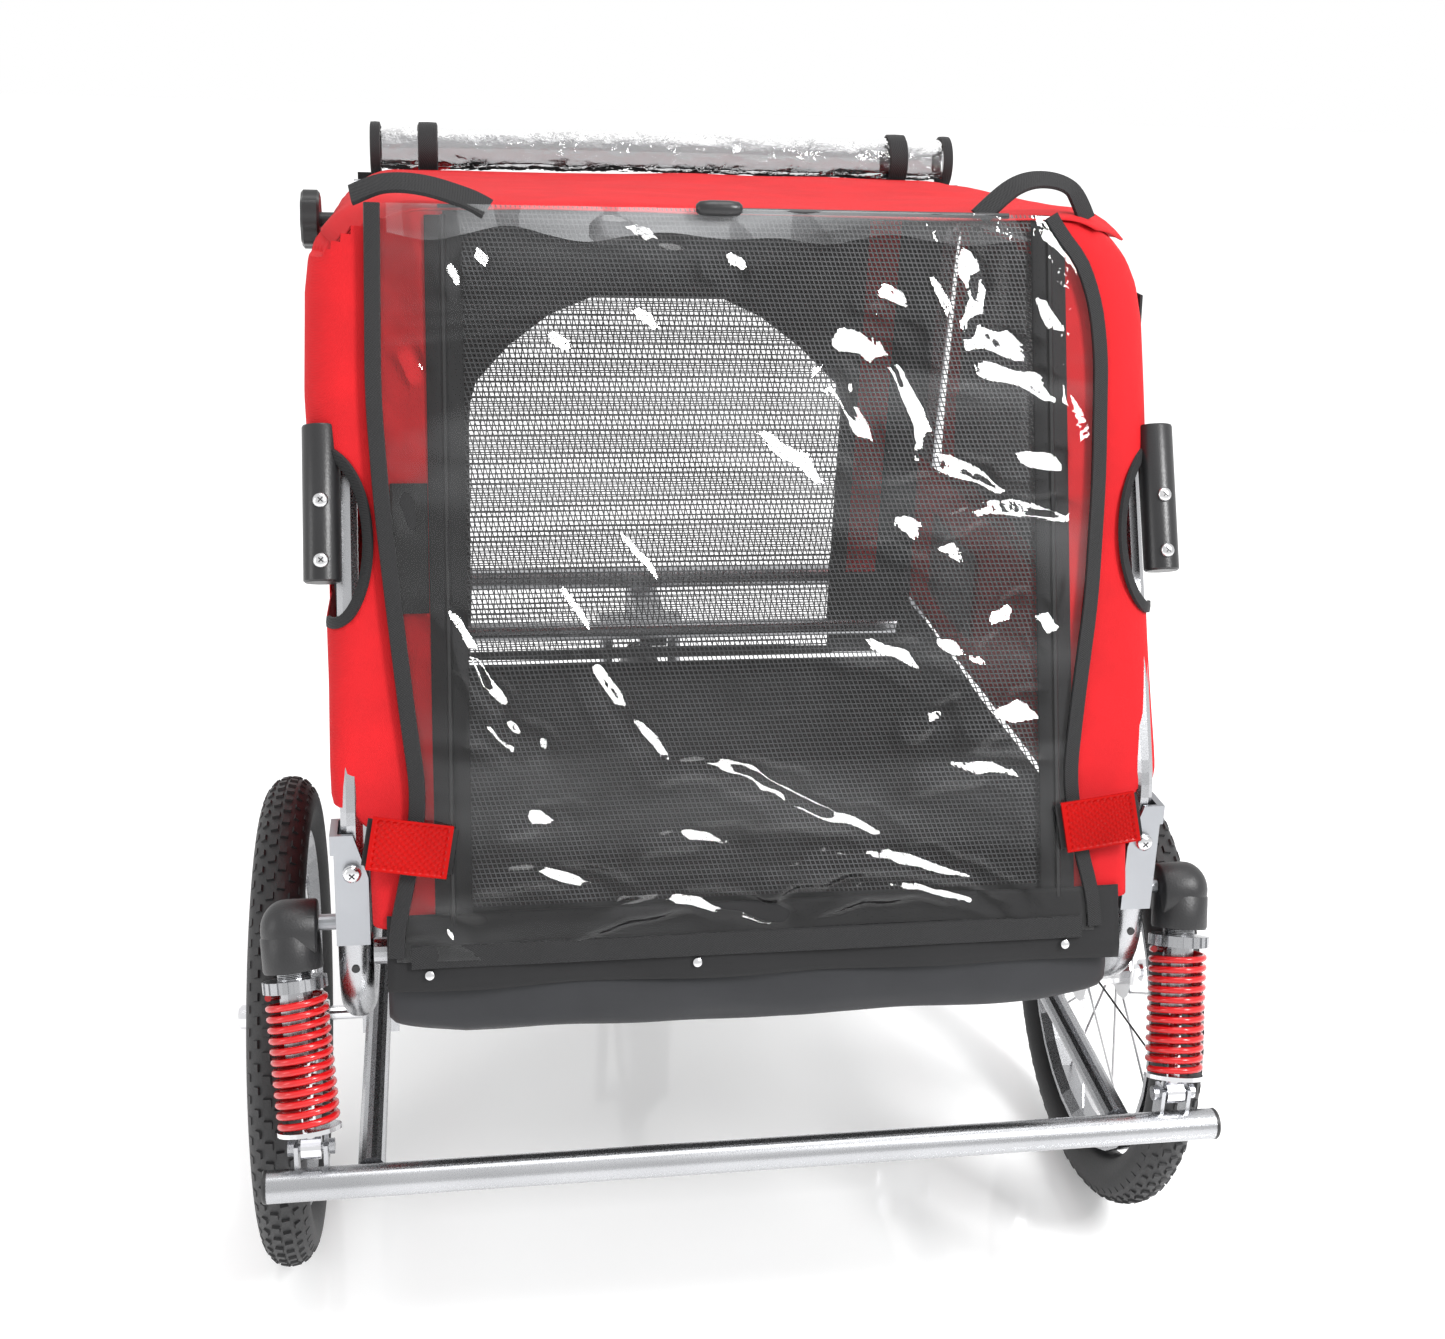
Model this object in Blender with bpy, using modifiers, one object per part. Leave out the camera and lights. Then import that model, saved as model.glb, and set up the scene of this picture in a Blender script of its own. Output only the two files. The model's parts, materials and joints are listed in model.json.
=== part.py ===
"""A suspended two-wheel bicycle trailer with a front caster wheel, folding sides and a stowed tow arm.

Units are metres, +Z is up, +Y is the direction of travel and X points right as seen from behind.
The origin is on the ground under the middle of the trailer's bounding box.
"""

import math

import bmesh
import bpy
from mathutils import Matrix, Vector

# Driving dimensions
AXLE_Y = -0.245
WHEEL_RADIUS = 0.200
TYRE_SECTION_RADIUS = 0.0222
TRACK_HALF = 0.355
GAP = 0.0003

# Chassis
RAIL_X = 0.2915
RAIL_RADIUS = 0.0125
RAIL_Z = 0.300
RAIL_BEND_RADIUS = 0.055
LEG_TOP_Z = 0.3755
REAR_LEG_Y = AXLE_Y - 0.190
FRONT_LEG_Y = AXLE_Y + 0.490
CROSS_TUBE_RADIUS = 0.0095
CROSS_TUBE_Z = 0.3628

# Folding sides
HINGE_Z = 0.434
BRACKET_DEPTH = 0.029
BRACKET_WALL = 0.003
HOOP_WIDTH = 0.016
HOOP_DEPTH = 0.022
HOOP_REAR_TOP = (0.293, AXLE_Y - 0.0215, 0.848)
HOOP_FRONT_TOP = (0.293, AXLE_Y + 0.458, 0.826)
ROOF_BAR_Y = AXLE_Y + 0.300

# Rear suspension
PIVOT_Y = AXLE_Y + 0.300
PIVOT_Z = 0.245
BAR_Y = AXLE_Y - 0.2487
BAR_Z = 0.210
BAR_RADIUS = 0.0117
BAR_HALF = 0.3565
ARM_X = 0.2835
ARM_RADIUS = 0.010
SHOCK_LOWER = (0.3248, AXLE_Y - 0.240, 0.2350)
SHOCK_UPPER = (0.3386, AXLE_Y - 0.1790, 0.3780)
SPRING_TURNS = 12

# Rear face
FACE_LEAN = math.radians(18.5)
FACE_Y = AXLE_Y - 0.235
FACE_Z = 0.360

# Front caster wheel
STEER_Y = AXLE_Y + 0.640
CASTER_Y = AXLE_Y + 0.600
CASTER_RADIUS = 0.150
CASTER_SECTION_RADIUS = 0.0205

# Tow arm
TOW_Y = AXLE_Y + 0.545
TOW_Z = 0.405
TOW_REACH = 0.560

SIDES = (("left", -1), ("right", 1))

for old in list(bpy.data.objects):
    bpy.data.objects.remove(old, do_unlink=True)

trailer = bpy.data.collections.new("bicycle_trailer")
guides = bpy.data.collections.new("guides")
bpy.context.scene.collection.children.link(trailer)
bpy.context.scene.collection.children.link(guides)


def material(name, colour, roughness, metallic=0.0):
    made = bpy.data.materials.new(name)
    made.use_nodes = True
    shader = made.node_tree.nodes["Principled BSDF"]
    shader.inputs["Base Color"].default_value = (*colour, 1)
    shader.inputs["Roughness"].default_value = roughness
    shader.inputs["Metallic"].default_value = metallic
    return made


SILVER = material("silver_tube", (0.62, 0.62, 0.63), 0.35, 1.0)
GREY = material("grey_bracket", (0.45, 0.46, 0.48), 0.4, 0.9)
CHROME = material("chrome", (0.80, 0.80, 0.82), 0.12, 1.0)
STEEL = material("steel_fastener", (0.70, 0.70, 0.72), 0.25, 1.0)
RED = material("red_fabric", (0.80, 0.02, 0.03), 0.8)
RED_PAINT = material("red_paint", (0.80, 0.02, 0.02), 0.25)
BLACK = material("black_fabric", (0.02, 0.02, 0.022), 0.85)
PLASTIC = material("black_plastic", (0.015, 0.015, 0.017), 0.35)
RUBBER = material("rubber", (0.03, 0.03, 0.03), 0.6)
CLEAR = material("clear_vinyl", (0.85, 0.87, 0.88), 0.08)
LENS = material("reflector_red", (0.75, 0.01, 0.01), 0.2)


def link(obj, colour):
    trailer.objects.link(obj)
    obj.data.materials.clear()
    obj.data.materials.append(colour)
    return obj


def body(name, place):
    """An empty on a moving body's joint axis."""
    empty = bpy.data.objects.new("body_" + name, None)
    empty.location = place
    trailer.objects.link(empty)
    bpy.context.view_layer.update()
    return empty


def attach(empty, *objects):
    for obj in objects:
        obj.parent = empty
        obj.matrix_parent_inverse = empty.matrix_world.inverted()


def solid(name, shape, colour):
    """An object from a bmesh, with round faces shaded smooth."""
    bmesh.ops.recalc_face_normals(shape, faces=shape.faces)
    mesh = bpy.data.meshes.new(name)
    shape.to_mesh(mesh)
    shape.free()
    mesh.shade_smooth()
    mesh.set_sharp_from_angle(angle=math.radians(35))
    return link(bpy.data.objects.new(name, mesh), colour)


def rod(shape, start, end, radius, sides=16, end_radius=None):
    """Adds a cylinder or cone between two points to a bmesh."""
    start, end = Vector(start), Vector(end)
    way = end - start
    turn = way.to_track_quat("Z", "Y").to_matrix().to_4x4()
    bmesh.ops.create_cone(
        shape,
        cap_ends=True,
        segments=sides,
        radius1=radius,
        radius2=radius if end_radius is None else end_radius,
        depth=way.length,
        matrix=Matrix.Translation((start + end) / 2) @ turn,
    )


def block(shape, low, high):
    """Adds a box between two corners to a bmesh."""
    low, high = Vector(low), Vector(high)
    size = high - low
    place = Matrix.Translation((low + high) / 2) @ Matrix.Diagonal((abs(size.x), abs(size.y), abs(size.z), 1))
    bmesh.ops.create_cube(shape, size=1, matrix=place)


def bar(name, colour, start, end, radius, sides=16):
    shape = bmesh.new()
    rod(shape, start, end, radius, sides)
    return solid(name, shape, colour)


def cut(obj, *cutters):
    """Takes cutters away from obj and applies the result."""
    for index, cutter in enumerate(cutters):
        cutter.hide_render = True
        cutter.display_type = "WIRE"
        change = obj.modifiers.new(f"cut_{index}", "BOOLEAN")
        change.operation = "DIFFERENCE"
        change.object = cutter
    return obj


def weld(obj, *others):
    """Joins others to obj, which they overlap."""
    for index, other in enumerate(others):
        change = obj.modifiers.new(f"weld_{index}", "BOOLEAN")
        change.operation = "UNION"
        change.object = other
    return obj


def cutter(name, fill):
    """A helper mesh that cuts or is welded, filled by a function."""
    shape = bmesh.new()
    fill(shape)
    bmesh.ops.recalc_face_normals(shape, faces=shape.faces)
    mesh = bpy.data.meshes.new(name)
    shape.to_mesh(mesh)
    shape.free()
    made = bpy.data.objects.new(name, mesh)
    guides.objects.link(made)
    made.hide_render = True
    made.display_type = "WIRE"
    return made


def filleted(corners, radii, steps=4):
    """A line through corners with each inner corner rounded by an arc."""
    points = [Vector(corners[0])]
    for index in range(1, len(corners) - 1):
        corner = Vector(corners[index])
        back = (Vector(corners[index - 1]) - corner).normalized()
        ahead = (Vector(corners[index + 1]) - corner).normalized()
        half = back.angle(ahead) / 2
        reach = radii[index - 1] / math.tan(half)
        start, end = corner + back * reach, corner + ahead * reach
        centre = corner + (back + ahead).normalized() * (radii[index - 1] / math.sin(half))
        first, last = start - centre, end - centre
        sweep = first.angle(last)
        across = (last - first * math.cos(sweep)) / math.sin(sweep)
        for step in range(steps + 1):
            angle = sweep * step / steps
            points.append(centre + first * math.cos(angle) + across * math.sin(angle))
    points.append(Vector(corners[-1]))
    return points


def tube(name, points, radius, colour, resolution=2, section=None):
    """A round or shaped tube along a line, as a welded mesh."""
    curve = bpy.data.curves.new(name + "_line", "CURVE")
    curve.dimensions = "3D"
    curve.use_fill_caps = True
    line = curve.splines.new("POLY")
    line.points.add(len(points) - 1)
    for point, place in zip(line.points, points):
        point.co = (*place, 1)
    if section is None:
        curve.bevel_depth = radius
        curve.bevel_resolution = resolution
    else:
        curve.bevel_mode = "OBJECT"
        curve.bevel_object = section
    guide = bpy.data.objects.new(name + "_guide", curve)
    guides.objects.link(guide)
    bpy.context.view_layer.update()
    graph = bpy.context.evaluated_depsgraph_get()
    mesh = bpy.data.meshes.new_from_object(guide.evaluated_get(graph))
    shape = bmesh.new()
    shape.from_mesh(mesh)
    bmesh.ops.remove_doubles(shape, verts=shape.verts, dist=0.00001)
    bpy.data.objects.remove(guide)
    return solid(name, shape, colour)


def oval_section():
    """The hoop tube's rounded section, as a closed 2D curve."""
    curve = bpy.data.curves.new("hoop_section", "CURVE")
    curve.dimensions = "2D"
    line = curve.splines.new("POLY")
    radius = HOOP_WIDTH / 2
    straight = HOOP_DEPTH / 2 - radius
    points = []
    for index in range(8):
        angle = math.radians(22.5 + 45 * index)
        side = straight if math.sin(angle) > 0 else -straight
        points.append((radius * math.cos(angle), radius * math.sin(angle) + side))
    line.points.add(len(points) - 1)
    for point, (x, y) in zip(line.points, points):
        point.co = (x, y, 0, 1)
    line.use_cyclic_u = True
    made = bpy.data.objects.new("hoop_section", curve)
    guides.objects.link(made)
    made.hide_render = True
    return made


def turned(name, outline, centre, colour, steps=40):
    """A ring round the X axis from (offset along X, radius) points, listed once round its section."""
    mesh = bpy.data.meshes.new(name)
    shape = bmesh.new()
    corners = [shape.verts.new((radius, 0, offset)) for offset, radius in outline]
    for index, corner in enumerate(corners):
        shape.edges.new((corner, corners[(index + 1) % len(corners)]))
    shape.to_mesh(mesh)
    shape.free()
    obj = link(bpy.data.objects.new(name, mesh), colour)
    spin = obj.modifiers.new("turn", "SCREW")
    spin.steps = steps
    spin.render_steps = steps
    spin.use_merge_vertices = True
    spin.merge_threshold = 0.0001
    spin.use_smooth_shade = True
    obj.rotation_euler = (0, math.radians(90), 0)
    obj.location = centre
    bpy.context.view_layer.update()
    graph = bpy.context.evaluated_depsgraph_get()
    evaluated = bpy.data.meshes.new_from_object(obj.evaluated_get(graph))
    evaluated.transform(obj.matrix_world)
    bpy.data.objects.remove(obj)
    ring = bmesh.new()
    ring.from_mesh(evaluated)
    return solid(name, ring, colour)


def lathe_shape(shape, outline, start, way, steps=16):
    """Adds a solid of revolution: (distance along way, radius) points from axis to axis."""
    own = bmesh.new()
    corners = [own.verts.new((radius, 0, offset)) for offset, radius in outline]
    for index in range(len(corners) - 1):
        own.edges.new((corners[index], corners[index + 1]))
    geometry = own.verts[:] + own.edges[:]
    bmesh.ops.spin(own, geom=geometry, cent=(0, 0, 0), axis=(0, 0, 1), angle=2 * math.pi, steps=steps)
    bmesh.ops.remove_doubles(own, verts=own.verts, dist=0.00001)
    turn = Vector(way).to_track_quat("Z", "Y").to_matrix().to_4x4()
    bmesh.ops.transform(own, matrix=Matrix.Translation(start) @ turn, verts=own.verts)
    mesh = bpy.data.meshes.new("lathe")
    own.to_mesh(mesh)
    own.free()
    shape.from_mesh(mesh)
    bpy.data.meshes.remove(mesh)


def lathe(name, outline, start, way, colour, steps=16):
    shape = bmesh.new()
    lathe_shape(shape, outline, start, way, steps)
    return solid(name, shape, colour)


def extruded(shape, outline, axis, low, high):
    """Adds a flat outline pulled along X, Y or Z; the outline gives the other two axes in order."""
    ring = []
    for a, b in outline:
        place = {"X": (low, a, b), "Y": (a, low, b), "Z": (a, b, low)}[axis]
        ring.append(shape.verts.new(place))
    face = shape.faces.new(ring)
    pulled = bmesh.ops.extrude_face_region(shape, geom=[face])
    moved = [part for part in pulled["geom"] if isinstance(part, bmesh.types.BMVert)]
    way = {"X": (high - low, 0, 0), "Y": (0, high - low, 0), "Z": (0, 0, high - low)}[axis]
    bmesh.ops.translate(shape, verts=moved, vec=way)


def sheet(name, outline, low, high, thickness, colour, along="X"):
    """A bent sheet: an open outline pulled along one axis, then thickened."""
    shape = bmesh.new()
    rows = []
    for place in (low, high):
        row = []
        for a, b in outline:
            row.append(shape.verts.new((place, a, b) if along == "X" else (a, place, b)))
        rows.append(row)
    for index in range(len(outline) - 1):
        shape.faces.new((rows[0][index], rows[0][index + 1], rows[1][index + 1], rows[1][index]))
    mesh = bpy.data.meshes.new(name)
    shape.to_mesh(mesh)
    shape.free()
    obj = link(bpy.data.objects.new(name, mesh), colour)
    thick = obj.modifiers.new("thickness", "SOLIDIFY")
    thick.thickness = thickness
    thick.offset = 0
    return obj


def plate(name, outline, low, high, colour):
    """A flat plate in the YZ plane, given as (y, z) points, from x = low to x = high."""
    shape = bmesh.new()
    ring = [shape.verts.new((low, y, z)) for y, z in outline]
    face = shape.faces.new(ring)
    pulled = bmesh.ops.extrude_face_region(shape, geom=[face])
    moved = [part for part in pulled["geom"] if isinstance(part, bmesh.types.BMVert)]
    bmesh.ops.translate(shape, verts=moved, vec=(high - low, 0, 0))
    return solid(name, shape, colour)


def face_y(z):
    """Where the leaning rear face is at a height."""
    return FACE_Y + (z - FACE_Z) * math.tan(FACE_LEAN)


# Chassis -------------------------------------------------------------------------------------

def base_rail(side_name, side):
    """A U of round tube: rear leg, long run under the floor, front leg."""
    x = side * RAIL_X
    corners = [(x, REAR_LEG_Y, LEG_TOP_Z), (x, REAR_LEG_Y, RAIL_Z), (x, FRONT_LEG_Y, RAIL_Z)]
    corners.append((x, FRONT_LEG_Y, LEG_TOP_Z))
    points = filleted(corners, [RAIL_BEND_RADIUS, RAIL_BEND_RADIUS])
    return tube("base_rail_" + side_name, points, RAIL_RADIUS, SILVER, 2)


def cross_tube(name, y):
    reach = RAIL_X - RAIL_RADIUS - GAP
    return bar(name, SILVER, (-reach, y, CROSS_TUBE_Z), (reach, y, CROSS_TUBE_Z), CROSS_TUBE_RADIUS)


def shock_stub(side):
    """The short bar from the rear bracket to the top of the shock."""
    y, z = SHOCK_UPPER[1], SHOCK_UPPER[2]

    def fill(shape):
        rod(shape, (side * 0.3000, y, z + 0.0040), (side * 0.3177, y, z + 0.0040), 0.0058)

    return fill


def tow_tabs(side):
    """Two plates and the web that joins them, ahead of a front bracket."""
    front = FRONT_LEG_Y + BRACKET_DEPTH / 2

    def fill(shape):
        outline = [(front - 0.002, 0.3780), (TOW_Y + 0.0150, 0.3780), (TOW_Y + 0.0150, 0.3860)]
        outline += [(front + 0.0060, 0.3860), (front + 0.0060, 0.4240), (TOW_Y + 0.0150, 0.4240)]
        outline += [(TOW_Y + 0.0150, 0.4290), (front - 0.002, 0.4290)]
        low, high = sorted((side * 0.2800, side * 0.3035))
        extruded(shape, outline, "X", low, high)

    return fill


def hinge_bracket(end_name, side_name, side, y):
    """A U bracket on a rail's leg, open inwards, with an outer stop at the top."""
    shape = bmesh.new()
    points = [(0.2805, 0.3760), (0.3040, 0.3760), (0.3040, 0.4470), (0.3065, 0.4470), (0.3065, 0.4620)]
    points += [(0.2905, 0.4620), (0.2805, 0.4290)]
    extruded(shape, [(side * x, z) for x, z in points], "Y", y - BRACKET_DEPTH / 2, y + BRACKET_DEPTH / 2)
    name = f"{end_name}_{side_name}"
    bracket = solid("hinge_bracket_" + name, shape, GREY)
    slot_half = BRACKET_DEPTH / 2 - BRACKET_WALL

    def slot(cutting):
        block(cutting, (side * 0.2700, y - slot_half, 0.4130), (side * 0.3200, y + slot_half, 0.4470))

    def top(cutting):
        block(cutting, (side * 0.2700, y - slot_half, 0.4465), (side * 0.3012, y + slot_half, 0.4800))

    def hole(cutting):
        rod(cutting, (side * RAIL_X, y - 0.03, HINGE_Z), (side * RAIL_X, y + 0.03, HINGE_Z), 0.0045)

    cut(bracket, cutter("slot_" + name, slot), cutter("top_" + name, top), cutter("hole_" + name, hole))
    if end_name == "rear":
        return weld(bracket, cutter("stub_" + name, shock_stub(side)))

    def pin(cutting):
        outline = [(0, 0), (0, 0.0064), (0.0050, 0.0064), (0.0050, 0.0040), (0.0370, 0.0040), (0.0370, 0.0066)]
        outline += [(0.0410, 0.0066), (0.0410, 0)]
        reach = BRACKET_DEPTH / 2 + 0.0045
        lathe_shape(cutting, outline, (side * RAIL_X, y - reach, HINGE_Z), (0, 1, 0))

    def tow_hole(cutting):
        rod(cutting, (side * RAIL_X, TOW_Y, 0.370), (side * RAIL_X, TOW_Y, 0.440), 0.0054)

    weld(bracket, cutter("tabs_" + name, tow_tabs(side)), cutter("pin_" + name, pin))
    if side_name == "left":
        last = bracket.modifiers.new("tow_hole", "BOOLEAN")
        last.operation = "DIFFERENCE"
        last.object = cutter("tow_hole_" + name, tow_hole)
    return bracket


def hinge_bolt(side_name, side):
    """An M8 bolt along Y through the rear bracket and the hoop, head to the rear and nut in front."""
    reach = BRACKET_DEPTH / 2 + GAP
    length = 2 * reach + 0.0040
    outline = [(0, 0), (0, 0.0060), (0.0010, 0.0066), (0.0040, 0.0066), (0.0040, 0.0040), (length, 0.0040)]
    outline += [(length, 0.0064), (length + 0.0060, 0.0064), (length + 0.0060, 0)]
    start = (side * RAIL_X, REAR_LEG_Y - reach - 0.0040, HINGE_Z)
    return lathe("hinge_bolt_" + side_name, outline, start, (0, 1, 0), STEEL)


def floor_panel():
    shape = bmesh.new()
    block(shape, (-0.262, AXLE_Y - 0.205, 0.3145), (0.262, AXLE_Y + 0.466, 0.3225))
    return solid("floor_panel", shape, BLACK)


def lower_tub():
    """The fabric walls that stand up from the floor, inside the rails, open at the rear."""
    shape = bmesh.new()
    rear, front, wall = AXLE_Y - 0.1780, AXLE_Y + 0.4720, 0.003
    outline = [(-0.266, rear), (wall - 0.266, rear), (wall - 0.266, front - wall)]
    outline += [(0.266 - wall, front - wall), (0.266 - wall, rear), (0.266, rear), (0.266, front), (-0.266, front)]
    extruded(shape, outline, "Z", 0.3235, 0.4200)
    return solid("lower_tub", shape, BLACK)


def rear_pad():
    """The padded roll under the rear door."""
    shape = bmesh.new()
    block(shape, (-0.262, AXLE_Y - 0.2310, 0.3245), (0.262, AXLE_Y - 0.2080, 0.3620))
    obj = solid("rear_pad", shape, BLACK)
    soften = obj.modifiers.new("round", "BEVEL")
    soften.width = 0.008
    soften.segments = 3
    return obj


def reflector(side_name, side):
    """A ribbed red reflector at a lower rear corner."""
    shape = bmesh.new()
    low, high = sorted((side * 0.2225, side * 0.2790))
    block(shape, (low, AXLE_Y - 0.2290, 0.4400), (high, AXLE_Y - 0.2225, 0.4760))
    return solid("reflector_" + side_name, shape, LENS)


def arm_hanger(side_name, side):
    """A U of plate under the rail, round the swing arm's pivot sleeve."""
    shape = bmesh.new()
    outline = [(-0.0195, -0.014), (-0.0155, -0.014), (-0.0155, 0.0300), (0.0155, 0.0300), (0.0155, -0.014)]
    outline += [(0.0195, -0.014), (0.0195, 0.0360), (-0.0195, 0.0360)]
    points = [(side * ARM_X + x, PIVOT_Z + z) for x, z in outline]
    extruded(shape, points, "Y", PIVOT_Y - 0.0120, PIVOT_Y + 0.0120)
    hanger = solid("arm_hanger_" + side_name, shape, GREY)

    def hole(cutting):
        rod(cutting, (-0.33, PIVOT_Y, PIVOT_Z), (0.33, PIVOT_Y, PIVOT_Z), 0.0044)

    def saddle(cutting):
        rod(cutting, (side * RAIL_X, AXLE_Y, RAIL_Z), (side * RAIL_X, AXLE_Y + 0.6, RAIL_Z), RAIL_RADIUS + GAP, 20)

    return cut(hanger, cutter("hanger_hole_" + side_name, hole), cutter("hanger_saddle_" + side_name, saddle))


def pivot_rod():
    """The long pin that both swing arms turn on."""
    reach = ARM_X + 0.0195 + GAP
    outline = [(0, 0), (0, 0.0066), (0.0050, 0.0066), (0.0050, 0.0040), (2 * reach + 0.0050, 0.0040)]
    outline += [(2 * reach + 0.0050, 0.0066), (2 * reach + 0.0100, 0.0066), (2 * reach + 0.0100, 0)]
    return lathe("pivot_rod", outline, (-reach - 0.0050, PIVOT_Y, PIVOT_Z), (1, 0, 0), STEEL)


def head_tube():
    """The boom from the front cross tube and the upright tube that the fork turns in."""
    shape = bmesh.new()
    rod(shape, (0, STEER_Y, 0.3330), (0, STEER_Y, 0.3760), 0.0175, 24)
    head = solid("head_tube", shape, SILVER)

    def boom(cutting):
        block(cutting, (-0.015, FRONT_LEG_Y + CROSS_TUBE_RADIUS + GAP, 0.3400), (0.015, STEER_Y - 0.0050, 0.3680))

    def bore(cutting):
        rod(cutting, (0, STEER_Y, 0.3200), (0, STEER_Y, 0.3900), 0.0125, 24)

    weld(head, cutter("boom", boom))
    last = head.modifiers.new("bore", "BOOLEAN")
    last.operation = "DIFFERENCE"
    last.object = cutter("head_bore", bore)
    return head


# Folding sides -------------------------------------------------------------------------------

def hoop_line(side):
    low, high = 0.4180, 0.4750
    corners = [(side * RAIL_X, REAR_LEG_Y, low), (side * RAIL_X, REAR_LEG_Y, high)]
    corners += [(side * HOOP_REAR_TOP[0], *HOOP_REAR_TOP[1:]), (side * HOOP_FRONT_TOP[0], *HOOP_FRONT_TOP[1:])]
    corners += [(side * RAIL_X, FRONT_LEG_Y, high), (side * RAIL_X, FRONT_LEG_Y, low)]
    return filleted(corners, [0.08, 0.055, 0.055, 0.08])


def side_hoop(side_name, side, section):
    hoop = tube("side_hoop_" + side_name, hoop_line(side), 0, SILVER, section=section)

    def holes(cutting):
        for y in (REAR_LEG_Y, FRONT_LEG_Y):
            rod(cutting, (side * RAIL_X, y - 0.03, HINGE_Z), (side * RAIL_X, y + 0.03, HINGE_Z), 0.0045)

    return cut(hoop, cutter("hoop_holes_" + side_name, holes))


SOCKET_LEAN = math.atan2(HOOP_REAR_TOP[1] - REAR_LEG_Y, HOOP_REAR_TOP[2] - 0.475)
SOCKET_WAY = Vector((0, math.sin(SOCKET_LEAN), math.cos(SOCKET_LEAN)))
SOCKET_HALF = 0.0553


def socket_centre(side):
    return Vector((side * 0.3080, AXLE_Y - 0.1215, 0.6785))


def handlebar_socket(side_name, side):
    """An open-topped tube that takes one end of the push handle, with two round screw heads."""
    centre = socket_centre(side)
    out = Vector((0, -math.cos(SOCKET_LEAN), math.sin(SOCKET_LEAN)))
    shape = bmesh.new()
    rod(shape, centre - SOCKET_WAY * SOCKET_HALF, centre + SOCKET_WAY * SOCKET_HALF, 0.0134, 24)
    socket = solid("handlebar_socket_" + side_name, shape, PLASTIC)

    def screws(cutting):
        for offset in (0.001, -0.041):
            base = centre + SOCKET_WAY * offset
            rod(cutting, base + out * 0.0120, base + out * 0.0165, 0.0053, 12)

    def bore(cutting):
        rod(cutting, centre - SOCKET_WAY * 0.050, centre + SOCKET_WAY * (SOCKET_HALF + 0.02), 0.0112, 24)

    weld(socket, cutter("socket_screws_" + side_name, screws))
    last = socket.modifiers.new("bore", "BOOLEAN")
    last.operation = "DIFFERENCE"
    last.object = cutter("socket_bore_" + side_name, bore)
    return socket


def side_panel(side_name, side):
    """The side's fabric and mesh wall, on the outside of its hoop."""
    outline = [(-0.1680, 0.4640), (-0.0970, 0.6300), (-0.0150, 0.8180), (0.0120, 0.8430), (0.4300, 0.8220)]
    outline += [(0.4640, 0.7950), (0.4880, 0.4640)]
    points = [(AXLE_Y + y, z) for y, z in outline]
    low, high = sorted((side * 0.3030, side * 0.3060))
    return plate("side_panel_" + side_name, points, low, high, RED)


def clamp_knob(side_name, side):
    """A round plastic knob and its stud at the top of the hoop."""
    outline = [(0, 0), (0, 0.0060), (0.0125, 0.0060), (0.0125, 0.0225), (0.0145, 0.0235), (0.0260, 0.0235)]
    outline += [(0.0275, 0.0220), (0.0275, 0)]
    start = (side * 0.3065, AXLE_Y + 0.160, 0.8400)
    return lathe("clamp_knob_" + side_name, outline, start, (side, 0, 0), PLASTIC, 24)


def roof_bar():
    """The bar that rests across the two hoops and spreads them."""
    slope = (HOOP_FRONT_TOP[2] - HOOP_REAR_TOP[2]) / (HOOP_FRONT_TOP[1] - HOOP_REAR_TOP[1])
    z = HOOP_REAR_TOP[2] + slope * (ROOF_BAR_Y - HOOP_REAR_TOP[1]) + HOOP_DEPTH / 2 + 0.0078
    return bar("roof_bar", SILVER, (-0.298, ROOF_BAR_Y, z), (0.298, ROOF_BAR_Y, z), 0.0062, 12)


# Soft covers ---------------------------------------------------------------------------------

def roof_panel():
    outline = []
    for x, z in ((-0.3095, 0.8500), (-0.3075, 0.8600), (-0.300, 0.8670), (-0.286, 0.8700)):
        outline.append((x, z))
    outline += [(-x, z) for x, z in reversed(outline)]
    roof = sheet("roof_panel", outline, AXLE_Y - 0.058, AXLE_Y + 0.452, 0.003, RED, "Y")
    lift = Matrix.Translation((0, 0, 0.0035)) @ Matrix(
        ((1, 0, 0, 0), (0, 1, 0, 0), (0, -0.055, 1, -0.055 * (-AXLE_Y) + 0.0075), (0, 0, 0, 1))
    )
    roof.data.transform(lift)
    return roof


def rear_door():
    outline = [(face_y(z) - 0.0, z) for z in (0.3900, 0.8680)]
    return sheet("rear_door", outline, -0.2760, 0.2760, 0.002, BLACK)


def rear_cover():
    """The clear rear cover, clear of the door behind it and of the reflectors."""
    outline = [(face_y(z) - 0.0120, z) for z in (0.3720, 0.4330)]
    outline.append((face_y(0.4950) - 0.0100, 0.4950))
    outline.append((face_y(0.8740) - 0.0060, 0.8740))
    return sheet("rear_cover", outline, -0.2190, 0.2190, 0.002, CLEAR)


def front_panel():
    outline = [(AXLE_Y + 0.5030, 0.3800), (AXLE_Y + 0.5030, 0.4300), (AXLE_Y + 0.4740, 0.8350)]
    return sheet("front_panel", outline, -0.2760, 0.2760, 0.003, BLACK)


def cover_roll():
    """The clear front cover, rolled up at the roof's front edge."""
    centre_y, centre_z = AXLE_Y + 0.4800, 0.8745
    return bar("cover_roll", CLEAR, (-0.2900, centre_y, centre_z), (0.2900, centre_y, centre_z), 0.0225, 20)


def zip_toggle():
    shape = bmesh.new()
    block(shape, (-0.044, AXLE_Y - 0.0830, 0.8790), (-0.010, AXLE_Y - 0.0720, 0.8860))
    return solid("zip_toggle", shape, PLASTIC)


# Rear suspension and wheels ------------------------------------------------------------------

def arm_z(y):
    """The height of a swing arm's centre line."""
    return BAR_Z + (y - BAR_Y) / (PIVOT_Y - BAR_Y) * (PIVOT_Z - BAR_Z)


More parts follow.
